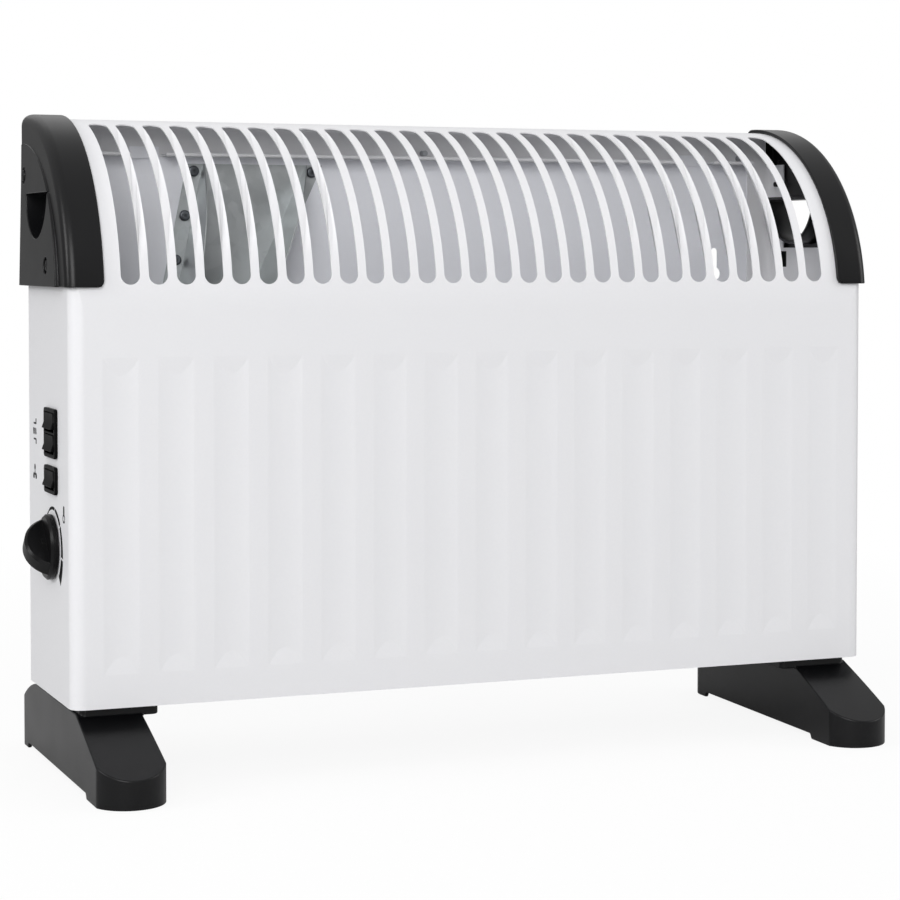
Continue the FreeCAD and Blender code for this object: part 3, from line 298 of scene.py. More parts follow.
def paint(piece: Piece, finish: Finish) -> None:
    """Give a piece one finish all over.

    Args:
        piece: the object.
        finish: the material it gets.
    """
    piece.data.materials.clear()
    piece.data.materials.append(finish.material())


def paint_nodes(finish: Finish, *nodes: str) -> None:
    """Give solids of the frame one finish.

    Args:
        finish: the material they get.
        nodes: names of the solids.
    """
    for node in nodes:
        paint(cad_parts[node], finish)


def start_alone(piece: Piece) -> None:
    """Select one object alone and make it active.

    Args:
        piece: the object.
    """
    bpy.ops.object.select_all(action="DESELECT")
    piece.select_set(True)
    bpy.context.view_layer.objects.active = piece


@contextmanager
def editing() -> Iterator[None]:
    """Hold the active object in edit mode for the length of a with block."""
    bpy.ops.object.mode_set(mode="EDIT")
    yield
    bpy.ops.object.mode_set(mode="OBJECT")


def select_where(piece: Piece, pick: Pick, test: Callable[[Element], bool]) -> None:
    """Select the faces or points that pass a test and leave the piece in edit mode.

    Args:
        piece: the active mesh object, in edit mode.
        pick: what to select.
        test: true for a face or point to select.
    """
    bpy.ops.mesh.select_mode(type=pick.value)
    bpy.ops.mesh.select_all(action="DESELECT")
    bpy.ops.object.mode_set(mode="OBJECT")
    elements = piece.data.polygons if pick is Pick.FACES else piece.data.vertices
    for element in elements:
        element.select = test(element)
    bpy.ops.object.mode_set(mode="EDIT")


def merge_doubles() -> None:
    """Select all of the mesh in edit mode and merge its doubles."""
    bpy.ops.mesh.select_all(action="SELECT")
    bpy.ops.mesh.remove_doubles(threshold=MERGE)


def place_on(piece: Piece, place: Matrix) -> None:
    """Put a piece somewhere, with the place in its mesh.

    Args:
        piece: the object, at the origin.
        place: where it goes.
    """
    start_alone(piece)
    piece.matrix_world = place
    bpy.ops.object.transform_apply(location=True, rotation=True, scale=True)


def copied(piece: Piece) -> Piece:
    """Copy a piece.

    Args:
        piece: the object.

    Returns:
        A copy with a mesh of its own.
    """
    twin = bpy.data.objects.new(piece.name, piece.data.copy())
    bpy.context.scene.collection.objects.link(twin)
    return twin


def settle(piece: Piece) -> None:
    """Merge doubles, turn normals outwards and smooth the shading.

    Args:
        piece: the finished mesh object.
    """
    start_alone(piece)
    with editing():
        merge_doubles()
        bpy.ops.mesh.normals_make_consistent(inside=False)
    bpy.ops.object.shade_smooth_by_angle(angle=math.radians(SMOOTH_DEG))


def join(pieces: list[Piece], name: str) -> Piece:
    """Join meshes into one object.

    Args:
        pieces: the objects; the first one stays.
        name: name of the result.

    Returns:
        The joined object.
    """
    start_alone(pieces[0])
    for piece in pieces[1:]:
        piece.select_set(True)
    if len(pieces) > 1:
        bpy.ops.object.join()
    pieces[0].name = name
    return pieces[0]


def islands(node: str) -> list[tuple[Vector, Vector]]:
    """Find the boxes of a node's separate solids.

    Args:
        node: name of a solid of the frame.

    Returns:
        Lowest and highest corner of each piece of it.
    """
    piece = copied(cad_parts[node])
    start_alone(piece)
    with editing():
        merge_doubles()
        bpy.ops.mesh.separate(type="LOOSE")
    boxes = []
    for part in list(bpy.context.selected_objects):
        points = [vertex.co for vertex in part.data.vertices]
        low = Vector(min(point[i] for point in points) for i in range(3))
        high = Vector(max(point[i] for point in points) for i in range(3))
        boxes.append((low, high))
        bpy.data.objects.remove(part)
    return boxes


def enter(piece: Piece, body: Body, finish: Finish) -> Piece:
    """Put a finished piece on its body with its finish.

    Args:
        piece: the object.
        body: the group that it moves with.
        finish: its material.

    Returns:
        The same object.
    """
    paint(piece, finish)
    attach(piece, body.value)
    return piece


@dataclass(frozen=True)
class Softened:
    """A moulding whose sharp edges get the small radius that the mould leaves."""

    node: str
    body: Body
    finish: Finish
    slot: Slot
    radius: float
    clamp: bool = False
    segments: int = 3
    flat_deg: float = 0.5
    sharp_deg: float = 30.0
    smooth_deg: float = 40.0

    def build(self) -> Piece:
        """Copy the solid, round its edges and let the copy stand for it.

        Returns:
            The rounded piece.
        """
        piece = copied(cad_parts[self.node])
        piece.name = self.node + "_rounded"
        start_alone(piece)
        bpy.ops.mesh.customdata_custom_splitnormals_clear()
        with editing():
            merge_doubles()
            bpy.ops.mesh.dissolve_limited(angle_limit=math.radians(self.flat_deg))
        edge = piece.modifiers.new("edge", "BEVEL")
        edge.width = self.radius
        edge.segments = self.segments
        edge.limit_method = "ANGLE"
        edge.angle_limit = math.radians(self.sharp_deg)
        edge.use_clamp_overlap = self.clamp
        edge.miter_outer = "MITER_ARC"
        bpy.ops.object.modifier_apply(modifier=edge.name)
        bpy.ops.object.shade_smooth_by_angle(angle=math.radians(self.smooth_deg))
        even = piece.modifiers.new("even", "WEIGHTED_NORMAL")
        even.keep_sharp = True
        bpy.ops.object.modifier_apply(modifier=even.name)
        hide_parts(self.node)
        return enter(piece, self.body, self.finish)


@dataclass(frozen=True)
class CrossScrew:
    """Pan-head screw with a cross recess; turns are in radians about the screw's axis."""

    head_radius: float = 3.4 * MM
    head_height: float = 2.2 * MM
    head_sides: int = 32
    shank_radius: float = 1.7 * MM
    crown: float = 1.1 * MM
    crown_steps: int = 4
    arm_length: float = 3.6 * MM
    arm_width: float = 0.75 * MM
    arm_depth: float = 1.3 * MM
    arm_taper: float = 0.45
    first_turn: float = 0.7
    next_turn: float = 1.1

    def pattern(self, shank: float) -> Piece:
        """Model one screw at the origin, head up and shank down.

        Args:
            shank: length of the shank.

        Returns:
            The screw.
        """
        bpy.ops.object.select_all(action="DESELECT")
        bpy.ops.mesh.primitive_cylinder_add(vertices=self.head_sides, radius=self.head_radius,
                                            depth=self.head_height,
                                            location=(0, 0, self.head_height / 2))
        screw = bpy.context.active_object
        bpy.ops.object.transform_apply(location=True, rotation=False, scale=False)
        with editing():
            select_where(screw, Pick.FACES, lambda face: face.normal.z > FACING)
            bpy.ops.mesh.bevel(offset=self.crown, segments=self.crown_steps, affect="EDGES")
            select_where(screw, Pick.FACES, lambda face: face.normal.z < -FACING)
            bpy.ops.mesh.inset(thickness=self.head_radius - self.shank_radius)
            bpy.ops.mesh.extrude_region_move(TRANSFORM_OT_translate={"value": (0, 0, -shank)})
        for turn in (0.0, math.pi / 2):
            self.cut_arm(screw, turn)
        return screw

    def cut_arm(self, screw: Piece, turn: float) -> None:
        """Cut one tapered arm of the cross into the head.

        Args:
            screw: the screw, head up at the origin.
            turn: angle of the arm about the screw's axis.
        """
        bpy.ops.object.select_all(action="DESELECT")
        bpy.ops.mesh.primitive_cube_add(size=1.0, location=(0, 0, self.head_height),
                                        rotation=(0, 0, turn))
        arm = bpy.context.active_object
        arm.scale = (self.arm_length, self.arm_width, 2 * self.arm_depth)
        bpy.ops.object.transform_apply(location=True, rotation=True, scale=True)
        with editing():
            select_where(arm, Pick.FACES, lambda face: face.normal.z < -FACING)
            bpy.ops.transform.resize(value=(self.arm_taper, self.arm_taper, 1.0))
        start_alone(screw)
        cut = screw.modifiers.new("cross", "BOOLEAN")
        cut.object = arm
        cut.operation = "DIFFERENCE"
        cut.solver = "EXACT"
        bpy.ops.object.modifier_apply(modifier=cut.name)
        bpy.data.objects.remove(arm)

    def group(self, node: str, finish: Finish, outward: Callable[[Vector], Vector]) -> Piece:
        """Set screws on the seats of a node's plain ones.

        Args:
            node: the solids that the group stands for.
            finish: plating of the screws.
            outward: the way that a head faces, from the screw's middle.

        Returns:
            The group as one object.
        """
        first: Optional[Piece] = None
        screws = []
        for i, (low, high) in enumerate(islands(node)):
            middle = (low + high) / 2
            way = outward(middle)
            length = abs((high - low).dot(way))
            if first is None:
                first = self.pattern(length - self.head_height)
            screw = copied(first)
            seat = Matrix.Translation(middle + way * (length / 2 - self.head_height))
            facing = way.to_track_quat("Z", "Y").to_matrix().to_4x4()
            turn = Matrix.Rotation(self.first_turn + self.next_turn * i, 4, "Z")
            place_on(screw, seat @ facing @ turn)
            screws.append(screw)
        bpy.data.objects.remove(first)
        whole = join(screws, node + "_crossed")
        settle(whole)
        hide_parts(node)
        return enter(whole, Body.HOUSING, finish)


@dataclass(frozen=True)
class WallInk:
    """Flat marks printed on the left wall; y runs to the rear and z up, in metres.

    Corners are shares of a mark's shorter side, and a blade's places are shares of its length.
    """

    sink: float = 0.01 * MM
    thick: float = 0.08 * MM
    bar_corner: float = 1 / 3
    bar_steps: int = 3
    ring_corner: float = 0.48
    ring_steps: int = 6
    blade_sides: int = 16
    blade_middle: float = 0.55
    blade_root: float = 0.4
    root_taper: float = 0.45
    arc_step_deg: float = 4.0
    fewest_steps: int = 2

    def wall(self) -> float:
        """Return the x of the left wall's outer face."""
        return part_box("front_shell")[0].x

    def flat(self, y: float, z: float) -> Matrix:
        """Return the place of a mark whose own x runs to the rear and whose y runs up."""
        axes = Matrix(((0, 0, -1, 0), (1, 0, 0, 0), (0, 1, 0, 0), (0, 0, 0, 1)))
        return Matrix.Translation((self.wall(), y, z)) @ axes

    def card(self, size: Pair, corner: float, steps: int) -> Piece:
        """Model a flat card with rounded corners at the origin.

        Args:
            size: its width and height.
            corner: its corners as a share of the shorter side.
            steps: facets of a corner.

        Returns:
            The card, as one face.
        """
        bpy.ops.object.select_all(action="DESELECT")
        bpy.ops.mesh.primitive_plane_add(size=1.0)
        card = bpy.context.active_object
        card.scale = (*size, 1.0)
        bpy.ops.object.transform_apply(location=True, rotation=True, scale=True)
        with editing():
            bpy.ops.mesh.select_all(action="SELECT")
            bpy.ops.mesh.bevel(offset=corner * min(size), segments=steps, affect="VERTICES")
        return card

    def bar(self, y: float, z: float, size: Pair, lean: float = 0.0) -> Piece:
        """Model one small bar with rounded corners.

        Args:
            y: middle of the bar.
            z: middle of the bar.
            size: size along the wall and upright size.
            lean: turn in the wall's plane, in radians.

        Returns:
            A flat mark in the wall's plane.
        """
        bar = self.card(size, self.bar_corner, self.bar_steps)
        place_on(bar, self.flat(y, z) @ Matrix.Rotation(lean, 4, "Z"))
        return bar

    def ring(self, y: float, z: float, size: Pair, line: float) -> Piece:
        """Model the outline of a capsule.

        Args:
            y: middle of the capsule.
            z: middle of the capsule.
            size: size along the wall and upright size.
            line: width of the line.

        Returns:
            A flat mark in the wall's plane.
        """
        ring = self.card(size, self.ring_corner, self.ring_steps)
        with editing():
            bpy.ops.mesh.select_all(action="SELECT")
            bpy.ops.mesh.inset(thickness=line)
            bpy.ops.mesh.delete(type="FACE")
        place_on(ring, self.flat(y, z))
        return ring

    def blade(self, y: float, z: float, size: Pair, turn: float) -> Piece:
        """Model one drop-shaped blade of a fan mark.

        Args:
            y: centre of the fan.
            z: centre of the fan.
            size: length and width of the blade.
            turn: angle about the fan's centre, in radians.

        Returns:
            A flat mark in the wall's plane.
        """
        reach = size[0]
        # A circle that is one across takes the blade's size as its scale.
        bpy.ops.object.select_all(action="DESELECT")
        bpy.ops.mesh.primitive_circle_add(vertices=self.blade_sides, radius=0.5, fill_type="NGON",
                                          location=(self.blade_middle * reach, 0, 0))
        blade = bpy.context.active_object
        blade.scale = (*size, 1.0)
        bpy.ops.object.transform_apply(location=True, rotation=True, scale=True)
        with editing():
            select_where(blade, Pick.POINTS, lambda point: point.co.x < self.blade_root * reach)
            bpy.ops.transform.resize(value=(1.0, self.root_taper, 1.0))
        place_on(blade, self.flat(y, z) @ Matrix.Rotation(turn, 4, "Z"))
        return blade

    def sweep(self, y: float, z: float, inner: float, arc_deg: Pair, widths: Pair) -> Piece:
        """Model one stretch of a round scale: an edge drawn out round the centre and widened on the way.

        Args:
            y: centre of the scale.
            z: centre of the scale.
            inner: radius of the line's inner edge.
            arc_deg: first and last angle, 0 to the front and 90 up.
            widths: width of the line at both ends.

        Returns:
            A flat mark in the wall's plane.
        """
        start, end = (math.radians(angle) for angle in arc_deg)
        steps = max(self.fewest_steps, round(abs(arc_deg[1] - arc_deg[0]) / self.arc_step_deg))
        growth = (widths[1] / widths[0]) ** (1 / steps)
        centre = Vector((self.wall(), y, z))
        half = widths[0] / 2
        bpy.ops.object.select_all(action="DESELECT")
        bpy.ops.mesh.primitive_plane_add(size=widths[0], location=(half, 0, 0))
        band = bpy.context.active_object
        bpy.ops.object.transform_apply(location=True, rotation=False, scale=False)
        with editing():
            select_where(band, Pick.POINTS, lambda point: point.co.x > half)
            bpy.ops.mesh.delete(type="VERT")
        out = Vector((0, -math.cos(start), math.sin(start)))
        side = Vector((1, 0, 0)).cross(out)
        turn = Matrix(((1, out.x, side.x, 0), (0, out.y, side.y, 0), (0, out.z, side.z, 0), (0, 0, 0, 1)))
        place_on(band, Matrix.Translation(centre + out * (inner + half)) @ turn)
        with editing():
            bpy.ops.mesh.select_all(action="SELECT")
            step = (end - start) / steps
            for i in range(1, steps + 1):
                angle = start + (end - start) * i / steps
                edge = centre + Vector((0, -math.cos(angle), math.sin(angle))) * inner
                bpy.ops.mesh.extrude_region_move()
                bpy.ops.transform.rotate(value=step, orient_axis="X", center_override=centre)
                bpy.ops.transform.resize(value=(growth, growth, growth), center_override=edge)
        return band

    def printed(self, marks: list[Piece], name: str) -> Piece:
        """Join flat marks, give them the ink's thickness and put them on the housing.

        Args:
            marks: flat meshes in the wall's plane.
            name: name of the print.

        Returns:
            The finished print.
        """
        whole = join(marks, name)
        settle(whole)
        skin = whole.modifiers.new("skin", "SOLIDIFY")
        skin.thickness = self.thick
        skin.offset = 0.0
        bpy.ops.object.modifier_apply(modifier=skin.name)
        settle(whole)
        place_on(whole, Matrix.Translation((self.sink - self.thick / 2, 0, 0)))
        return enter(whole, Body.HOUSING, INK)


class Assembly(ABC):
    """A sub-assembly of the heater."""

    @abstractmethod
    def build(self) -> list[Piece]:
        """Return the new pieces that the scene adds."""

    @abstractmethod
    def dress(self) -> None:
        """Give the solids their finishes."""


@dataclass
class SteelBody(Assembly):
    """Sheet-steel body with its rear panel, tray and the screws of the panel.

    The lip's spans run from the shell's middle. Its bead lies just under a radius ahead of its web,
    so that the web sinks into the flange.
    """

    sheet: float = 0.8 * MM
    lip_radius: float = 1.2 * MM
    lip_sides: int = 16
    lip_depth: float = 10.0 * MM
    lip_drop: float = 20.4 * MM
    lip_spans_mm: tuple[Pair, ...] = ((-234.0, -194.5), (-172.3, 182.1), (204.3, 234.0))
    bead_share: float = 0.9
    screw: CrossScrew = CrossScrew()

    def build(self) -> list[Piece]:
        """Return the roof flange's lip and the screws of the rear panel."""
        lip = self.roof_lip()
        return [lip, self.screw.group("panel_screws", ZINC_PLATE, lambda middle: Vector((0, 1, 0)))]

    def roof_lip(self) -> Piece:
        """Model the rolled lip along the lower edge of the roof's rear flange, open at the panel's hooks.

        Returns:
            The lip in three stretches.
        """
        low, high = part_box("front_shell")
        bpy.ops.object.select_all(action="DESELECT")
        bpy.ops.mesh.primitive_cylinder_add(vertices=self.lip_sides, radius=self.lip_radius, depth=1.0,
                                            rotation=(0, math.pi / 2, 0))
        bead = bpy.context.active_object
        bpy.ops.object.transform_apply(location=False, rotation=True, scale=False)
        with editing():
            select_where(bead, Pick.FACES, lambda face: face.normal.y > FACING)
            bpy.ops.mesh.extrude_region_move(TRANSFORM_OT_translate={"value": (0, self.lip_depth, 0)})
        y = high.y - self.sheet - self.lip_depth - self.bead_share * self.lip_radius
        stretches = []
        for start, end in self.lip_spans_mm:
            stretch = copied(bead)
            x = (low.x + high.x + (start + end) * MM) / 2
            drawn_out = Matrix.Diagonal(((end - start) * MM, 1, 1, 1))
            place_on(stretch, Matrix.Translation((x, y, high.z - self.lip_drop)) @ drawn_out)
            stretches.append(stretch)
        bpy.data.objects.remove(bead)
        whole = join(stretches, "roof_lip")
        settle(whole)
        return enter(whole, Body.HOUSING, WHITE_POWDER)

    def dress(self) -> None:
        """Paint the visible sheets white and leave the tray galvanised."""
        paint_nodes(WHITE_POWDER, "front_shell")
        # The rear panel takes a lighter, bluer copy of the white powder: painted light and a painted shade
        # tint inside behind the grille.
        paint_nodes(WHITE_PANEL_PAINTED_LIGHT, "rear_panel")
        paint_nodes(ZINC_SHEET, "bottom_tray")
        paint_nodes(BLACK_MOULDING, "cord_bush")


@dataclass
class MouldedPair(Assembly):
    """A left and a right black moulding with soft edges, and the screws that hold them."""

    nodes: tuple[str, str]
    screw_node: str
    edge: float
    screw: CrossScrew = CrossScrew()

    @abstractmethod
    def outward(self, middle: Vector) -> Vector:
        """Return the way that a screw's head faces, from the screw's middle."""

    def build(self) -> list[Piece]:
        """Round both mouldings and set their screws.

        Returns:
            The mouldings and the group of screws.
        """
        pair = [Softened(node, Body.HOUSING, BLACK_MOULDING, Slot.BLACK_PLASTIC, self.edge).build()
                for node in self.nodes]
        return pair + [self.screw.group(self.screw_node, BLACK_ZINC, self.outward)]

    def dress(self) -> None:
        """Give the plain solids the same moulding."""
        paint_nodes(BLACK_MOULDING, *self.nodes)


@dataclass
class EndCaps(MouldedPair):
    """Moulded end caps, with screws in wells at the sides."""

    nodes: tuple[str, str] = ("left_end_cap", "right_end_cap")
    screw_node: str = "cap_screws"
    edge: float = 0.6 * MM

    def outward(self, middle: Vector) -> Vector:
        """Return the way to the screw's own side of the heater."""
        return Vector((math.copysign(1, middle.x), 0, 0))


@dataclass
class Feet(MouldedPair):
    """Moulded feet, with screws in bosses from below."""

    nodes: tuple[str, str] = ("left_foot", "right_foot")
    screw_node: str = "foot_screws"
    edge: float = 0.85 * MM

    def outward(self, middle: Vector) -> Vector:
        """Return the way down."""
        return Vector((0, 0, -1))


@dataclass
class SwitchBank(Assembly):
    """Rocker switches of the left wall and the marks behind them.

    A mark's size is that along the wall and then the upright one. Each heat angle has an upright bar
    and a level bar, placed from the middle of the marks.
    """

    edge: float = 0.45 * MM
    mark_y: float = 35.5 * MM
    mark_drop: float = 2.0 * MM
    bar_step: float = 3.2 * MM
    bar_size: Pair = (2.0 * MM, 4.0 * MM)
    bar_lean: float = -0.3
    upright_size: Pair = (2.0 * MM, 3.4 * MM)
    upright_ahead: float = 3.6 * MM
    upright_rise: float = 6.0 * MM
    level_size: Pair = (6.6 * MM, 1.0 * MM)
    level_ahead: float = 0.4 * MM
    level_rise: float = 4.7 * MM
    blade_count: int = 3
    blade_size: Pair = (5.2 * MM, 3.8 * MM)
    hub_size: Pair = (2.2 * MM, 2.2 * MM)
    hub_line: float = 0.6 * MM
    ink: WallInk = WallInk()

    def build(self) -> list[Piece]:
        """Round the switches and print their marks.

        Returns:
            Rockers, frames and printed marks.
        """
        switches = {"upper_heat_rocker": Body.UPPER_ROCKER, "lower_heat_rocker": Body.LOWER_ROCKER,
                    "fan_rocker": Body.FAN_ROCKER, "heat_switch_frame": Body.HOUSING,
                    "fan_switch_frame": Body.HOUSING}
        pieces = [Softened(node, body, BLACK_ROCKER, Slot.BLACK_SWITCH, self.edge).build()
                  for node, body in switches.items()]
        return pieces + [self.heat_marks(), self.fan_mark()]

    def dress(self) -> None:
        """Give the plain solids the switches' black and their blades brass."""
        paint_nodes(BLACK_ROCKER, "heat_switch_frame", "upper_heat_rocker", "lower_heat_rocker",
                    "fan_switch_frame", "fan_rocker")
        paint_nodes(BRASS, "switch_blades")

    def heat_marks(self) -> Piece:
        """Print the heat steps: an angle, three bars and a turned angle.

        Returns:
            The marks beside the double switch.
        """
        low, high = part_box("heat_switch_frame")
        y = self.mark_y
        z = (low.z + high.z) / 2 - self.mark_drop
        marks = [self.ink.bar(y + i * self.bar_step, z, self.bar_size, self.bar_lean) for i in (-1, 0, 1)]
        for side in (-1, 1):
            marks += [
                self.ink.bar(y - self.upright_ahead, z + side * self.upright_rise, self.upright_size),
                self.ink.bar(y - self.level_ahead, z + side * self.level_rise, self.level_size)]
        return self.ink.printed(marks, "heat_marks")

    def fan_mark(self) -> Piece:
        """Print a small fan with three blades and a hub.

        Returns:
            The mark beside the single switch.
        """
        low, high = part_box("fan_switch_frame")
        z = (low.z + high.z) / 2
        turns = [math.radians(90 + 360 * i / self.blade_count) for i in range(self.blade_count)]
        marks = [self.ink.blade(self.mark_y, z, self.blade_size, turn) for turn in turns]
        marks.append(self.ink.ring(self.mark_y, z, self.hub_size, self.hub_line))
        return self.ink.printed(marks, "fan_mark")


@dataclass
class Thermostat(Assembly):
    """Thermostat with its knob, the round scale on the wall and the sign beside it."""

    edge: float = 0.4 * MM
    scale_inner: float = 21.6 * MM
    gap_deg: float = 3.0
    stops_deg: tuple[float, ...] = (237.0, 197.0, 157.0, 117.0, 76.0, 36.0, -11.0, -47.0)
    thin: float = 0.45 * MM
    thick: float = 7.0 * MM
    sign_ahead: float = 29.0 * MM
    sign_rise: float = 21.0 * MM
    stem_size: Pair = (3.0 * MM, 5.2 * MM)
    stem_rise: float = 2.7 * MM
    bulb_size: Pair = (5.6 * MM, 5.2 * MM)
    bulb_drop: float = 1.9 * MM
    bulb_line: float = 1.1 * MM
    ink: WallInk = WallInk()

    def build(self) -> list[Piece]:
        """Round the knob and print what stands beside it.

        Returns:
            The knob, its scale and the sign.
        """
        knob = Softened("thermostat_knob", Body.KNOB, BLACK_SWITCH, Slot.BLACK_PLASTIC, self.edge,
                        clamp=True)
        return [knob.build(), self.scale(), self.sign()]

    def dress(self) -> None:
        """Finish the plain knob and the hidden parts of the thermostat."""
        paint_nodes(BLACK_SWITCH, "thermostat_knob")
        paint_nodes(BRASS, "thermostat_shaft")
        paint_nodes(PHENOLIC, "thermostat_body")
        paint_nodes(ZINC_PLATE, "thermostat_nut")

    def axis(self) -> Vector:
        """Return the middle of the knob."""
        low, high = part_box("thermostat_knob")
        return (low + high) / 2

    def width_at(self, angle: float) -> float:
        """Return the width of the scale's line at an angle in degrees."""
        first, last = self.stops_deg[0], self.stops_deg[-1]
        return self.thin * (self.thick / self.thin) ** ((first - angle) / (first - last))

    def scale(self) -> Piece:
        """Print the scale: stretches round the knob that grow thicker towards the warm end.

        Returns:
            The scale.
        """
        centre = self.axis()
        bands = []
        for start, end in zip(self.stops_deg, self.stops_deg[1:]):
            arc = (start - self.gap_deg / 2, end + self.gap_deg / 2)
            widths = (self.width_at(arc[0]), self.width_at(arc[1]))
            bands.append(self.ink.sweep(centre.y, centre.z, self.scale_inner, arc, widths))
        return self.ink.printed(bands, "knob_scale")

    def sign(self) -> Piece:
        """Print a small thermometer beside the scale.

        Returns:
            The sign: a dark bar over a capsule outline.
        """
        centre = self.axis()
        y = centre.y - self.sign_ahead
        z = centre.z + self.sign_rise
        marks = [self.ink.bar(y, z + self.stem_rise, self.stem_size),
                 self.ink.ring(y, z - self.bulb_drop, self.bulb_size, self.bulb_line)]
        return self.ink.printed(marks, "thermometer_sign")


@dataclass
class HeaterCore(Assembly):
    """Heating elements with their supports, and the control bay beside them."""

    def build(self) -> list[Piece]:
        """Return nothing new: the solids have their full form."""
        return []

    def dress(self) -> None:
        """Give each solid the metal, ceramic or plastic that it is made of."""
        paint_nodes(ALUMINIUM, "front_heating_element", "rear_heating_element")
        paint_nodes(CERAMIC, "element_insulators")
        paint_nodes(BRASS, "element_pins")
        paint_nodes(ZINC_SHEET, "left_element_bracket", "right_element_bracket", "control_shield")
        paint_nodes(PHENOLIC, "thermal_cutout")
        paint_nodes(NYLON, "terminal_block")


@dataclass
class Blower(Assembly):
    """Fan with its motor, casing and outlet duct, and the duct's screws."""

    screw: CrossScrew = CrossScrew()

    def build(self) -> list[Piece]:
        """Return the screws of the duct."""
        # The duct screws take a dark grey copy of the zinc plate: painted shade.
        return [self.screw.group("duct_screws", SHADED_DUCT_ZINC, lambda middle: Vector((0, -1, 0)))]

    def dress(self) -> None:
        """Give sheet, motor and wheel their materials."""
        paint_nodes(ZINC_SHEET, "fan_scroll", "fan_duct", "motor_bridges")
        paint_nodes(BLACK_MOULDING, "fan_wheel")
        paint_nodes(CORE_STEEL, "fan_shaft", "fan_rotor", "motor_stack_plates")
        paint_nodes(COPPER_WIRE, "motor_coil")
        paint_nodes(ZINC_PLATE, "motor_posts")


@dataclass(frozen=True)
class SoftBox:
    """Rectangular lamp: its place, the point it faces and its face in metres, its power in watts."""

    name: str
    place: Triple
    aim: Triple
    face: Pair
    watts: float

    def build(self) -> None:
        """Add the lamp to the scene."""
        light = bpy.data.lights.new(self.name, "AREA")
        light.shape = "RECTANGLE"
        light.size, light.size_y = self.face
        light.energy = self.watts
        lamp = bpy.data.objects.new(self.name, light)
        lamp.location = self.place
        lamp.rotation_euler = (Vector(self.aim) - Vector(self.place)).to_track_quat("-Z", "Y").to_euler()
        bpy.context.scene.collection.objects.link(lamp)


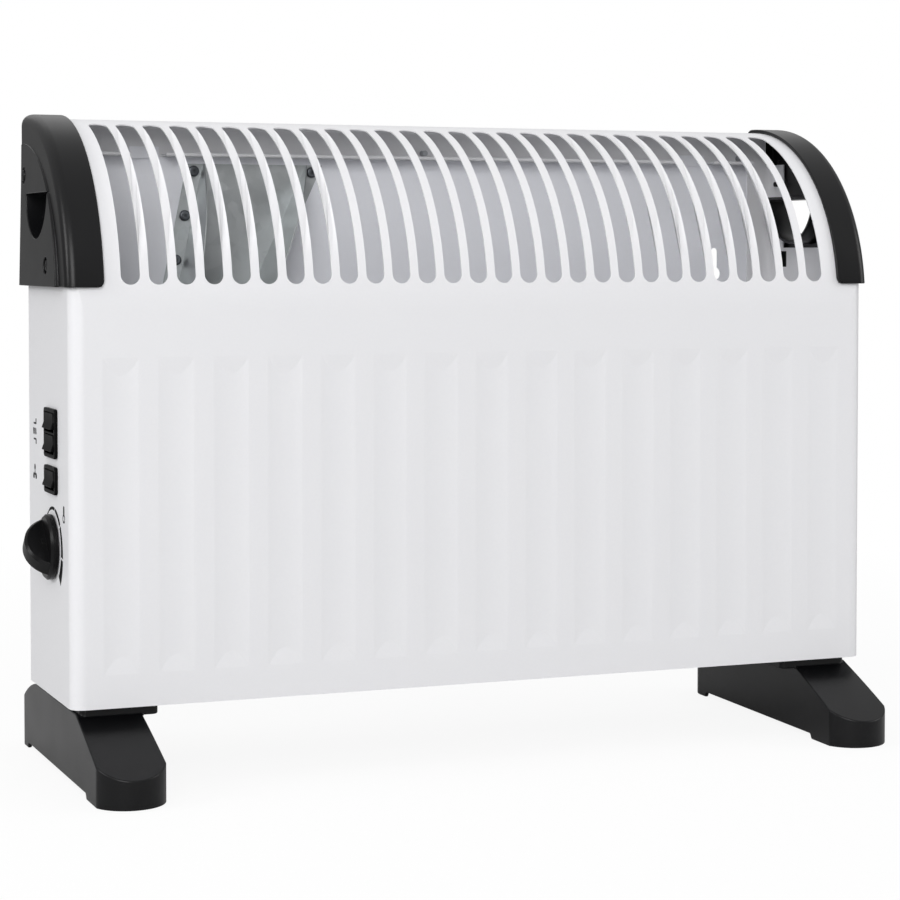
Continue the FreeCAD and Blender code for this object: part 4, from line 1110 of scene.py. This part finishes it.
@dataclass
class Studio:
    """Floor, light and camera of the picture, in metres and radians, with the lens in millimetres."""

    eye: Triple = (-0.55839, -1.40874, 0.30625)
    yaw: float = 0.3788
    pitch: float = -0.0369
    lens: float = 97.68
    sensor: float = 36.0
    shift_y: float = -0.1186
    clip: float = 50.0
    floor_size: float = 12.0
    floor_drop: float = 0.2 * MM
    floor_lit: str = "#C4C4C4"
    floor_seen: str = "#F4F4F4"
    floor_glow: Pair = (0.9, 1.0)
    glow_reach: Pair = (0.45, 1.1)
    sky_low: float = 0.17
    sky_high: float = 0.7
    sky_full: float = 0.75
    gloss_share: float = 0.1
    lamps: tuple[SoftBox, ...] = (
        SoftBox("key", place=(-1.5, -2.9, 1.5), aim=(0.0, 0.0, 0.25), face=(1.7, 1.7), watts=58.0),
        SoftBox("side", place=(-2.0, -0.3, 1.0), aim=(-0.2, 0.0, 0.25), face=(0.5, 0.8), watts=11.0),
        SoftBox("back", place=(0.5, 2.3, 1.9), aim=(0.0, 0.0, 0.25), face=(2.6, 1.8), watts=6.0),
        SoftBox("fill", place=(2.4, -1.1, 1.0), aim=(0.0, 0.0, 0.2), face=(1.3, 1.3), watts=16.0),
    )

    def build(self) -> None:
        """Set up everything around the object."""
        self.world()
        self.floor()
        for lamp in self.lamps:
            lamp.build()
        self.camera()
        bpy.context.scene.view_settings.view_transform = "Standard"

    def looked_at(self, tree: Tree) -> Socket:
        """Add the test for rays that look at the background.

        Args:
            tree: the node tree that needs it.

        Returns:
            1 for what the eye or glass sees, a share of it for gloss, 0 for light that falls on the object.
        """
        path = add_node(tree, "ShaderNodeLightPath")
        gloss = add_node(tree, "ShaderNodeMath", {"operation": "MULTIPLY", 1: self.gloss_share},
                         {0: path.outputs["Is Glossy Ray"]})
        first = add_node(tree, "ShaderNodeMath", {"operation": "MAXIMUM"},
                         {0: path.outputs["Is Camera Ray"], 1: gloss.outputs["Value"]})
        both = add_node(tree, "ShaderNodeMath", {"operation": "MAXIMUM"},
                        {0: first.outputs["Value"], 1: path.outputs["Is Transmission Ray"]})
        return both.outputs["Value"]

    def world(self) -> None:
        """Light the scene from a sky that brightens upwards and is white to the eye."""
        world = bpy.data.worlds.new("studio")
        bpy.context.scene.world = world
        world.use_nodes = True
        tree = world.node_tree
        tree.nodes.clear()
        way = add_node(tree, "ShaderNodeTexCoord").outputs["Generated"]
        rise = add_node(tree, "ShaderNodeSeparateXYZ", None, {"Vector": way})
        sky = add_node(tree, "ShaderNodeMapRange",
                       {"From Min": 0.0, "From Max": self.sky_full, "To Min": self.sky_low,
                        "To Max": self.sky_high},
                       {"Value": rise.outputs["Z"]})
        level = add_node(tree, "ShaderNodeMapRange", {"To Max": 1.0},
                         {"Value": self.looked_at(tree), "To Min": sky.outputs["Result"]})
        light = add_node(tree, "ShaderNodeBackground", {"Color": linear(WHITE)},
                         {"Strength": level.outputs["Result"]})
        add_node(tree, "ShaderNodeOutputWorld", None, {"Surface": light.outputs["Background"]})

    def floor(self) -> None:
        """Lay a plain pale floor that keeps the object's shadow and turns white away from it."""
        bpy.ops.object.select_all(action="DESELECT")
        bpy.ops.mesh.primitive_plane_add(size=self.floor_size, location=(0, 0, -self.floor_drop))
        floor = bpy.context.active_object
        floor.name = "floor"
        # Matt pale board: no sheen, so that only the shadow marks it.
        made = bpy.data.materials.new("matt_studio_board")
        made.use_nodes = True
        tree = made.node_tree
        tree.nodes.clear()
        place = add_node(tree, "ShaderNodeTexCoord").outputs["Object"]
        far = add_node(tree, "ShaderNodeVectorMath", {"operation": "LENGTH"}, {0: place})
        glow_here = add_node(tree, "ShaderNodeMapRange",
                             {"From Min": self.glow_reach[0], "From Max": self.glow_reach[1],
                              "To Min": self.floor_glow[0], "To Max": self.floor_glow[1]},
                             {"Value": far.outputs["Value"]})
        share = add_node(tree, "ShaderNodeMath", {"operation": "MULTIPLY"},
                         {0: self.looked_at(tree), 1: glow_here.outputs["Result"]})
        pale = add_node(tree, "ShaderNodeMix",
                        {"data_type": "RGBA", MIX_COLOUR_A: linear(self.floor_lit),
                         MIX_COLOUR_B: linear(self.floor_seen)},
                        {MIX_SHARE: self.looked_at(tree)})
        board = add_node(tree, "ShaderNodeBsdfDiffuse", None, {"Color": pale.outputs[MIX_COLOUR_OUT]})
        glow = add_node(tree, "ShaderNodeEmission", {"Color": linear(WHITE), "Strength": 1.0})
        both = add_node(tree, "ShaderNodeMixShader", None,
                        {0: share.outputs["Value"], 1: board.outputs["BSDF"], 2: glow.outputs["Emission"]})
        add_node(tree, "ShaderNodeOutputMaterial", None, {"Surface": both.outputs["Shader"]})
        floor.data.materials.append(made)

    def camera(self) -> None:
        """Place the camera at the photograph's viewing angle."""
        lens = bpy.data.cameras.new("camera")
        lens.sensor_width = self.sensor
        lens.lens = self.lens
        lens.shift_y = self.shift_y
        lens.clip_end = self.clip
        camera = bpy.data.objects.new("camera", lens)
        camera.location = self.eye
        camera.rotation_euler = (math.pi / 2 + self.pitch, 0.0, -self.yaw)
        bpy.context.scene.collection.objects.link(camera)
        bpy.context.scene.camera = camera


def clear_start() -> None:
    """Remove what a new file holds besides the frame."""
    for name in ("Cube", "Light", "Camera"):
        old = bpy.data.objects.get(name)
        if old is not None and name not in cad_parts:
            bpy.data.objects.remove(old)


def main() -> None:
    """Build every sub-assembly in order and report its pieces."""
    logging.basicConfig(level=logging.INFO, format="%(name)s: %(message)s")
    clear_start()
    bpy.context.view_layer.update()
    assemblies: list[Assembly] = [SteelBody(), EndCaps(), Feet(), SwitchBank(), Thermostat(), HeaterCore(),
                                  Blower()]
    for assembly in assemblies:
        assembly.dress()
        for piece in assembly.build():
            log.info("%s: %s, %d faces", type(assembly).__name__, piece.name, len(piece.data.polygons))
    Studio().build()
    log.info("studio ready")


if __name__ == "__main__":
    main()
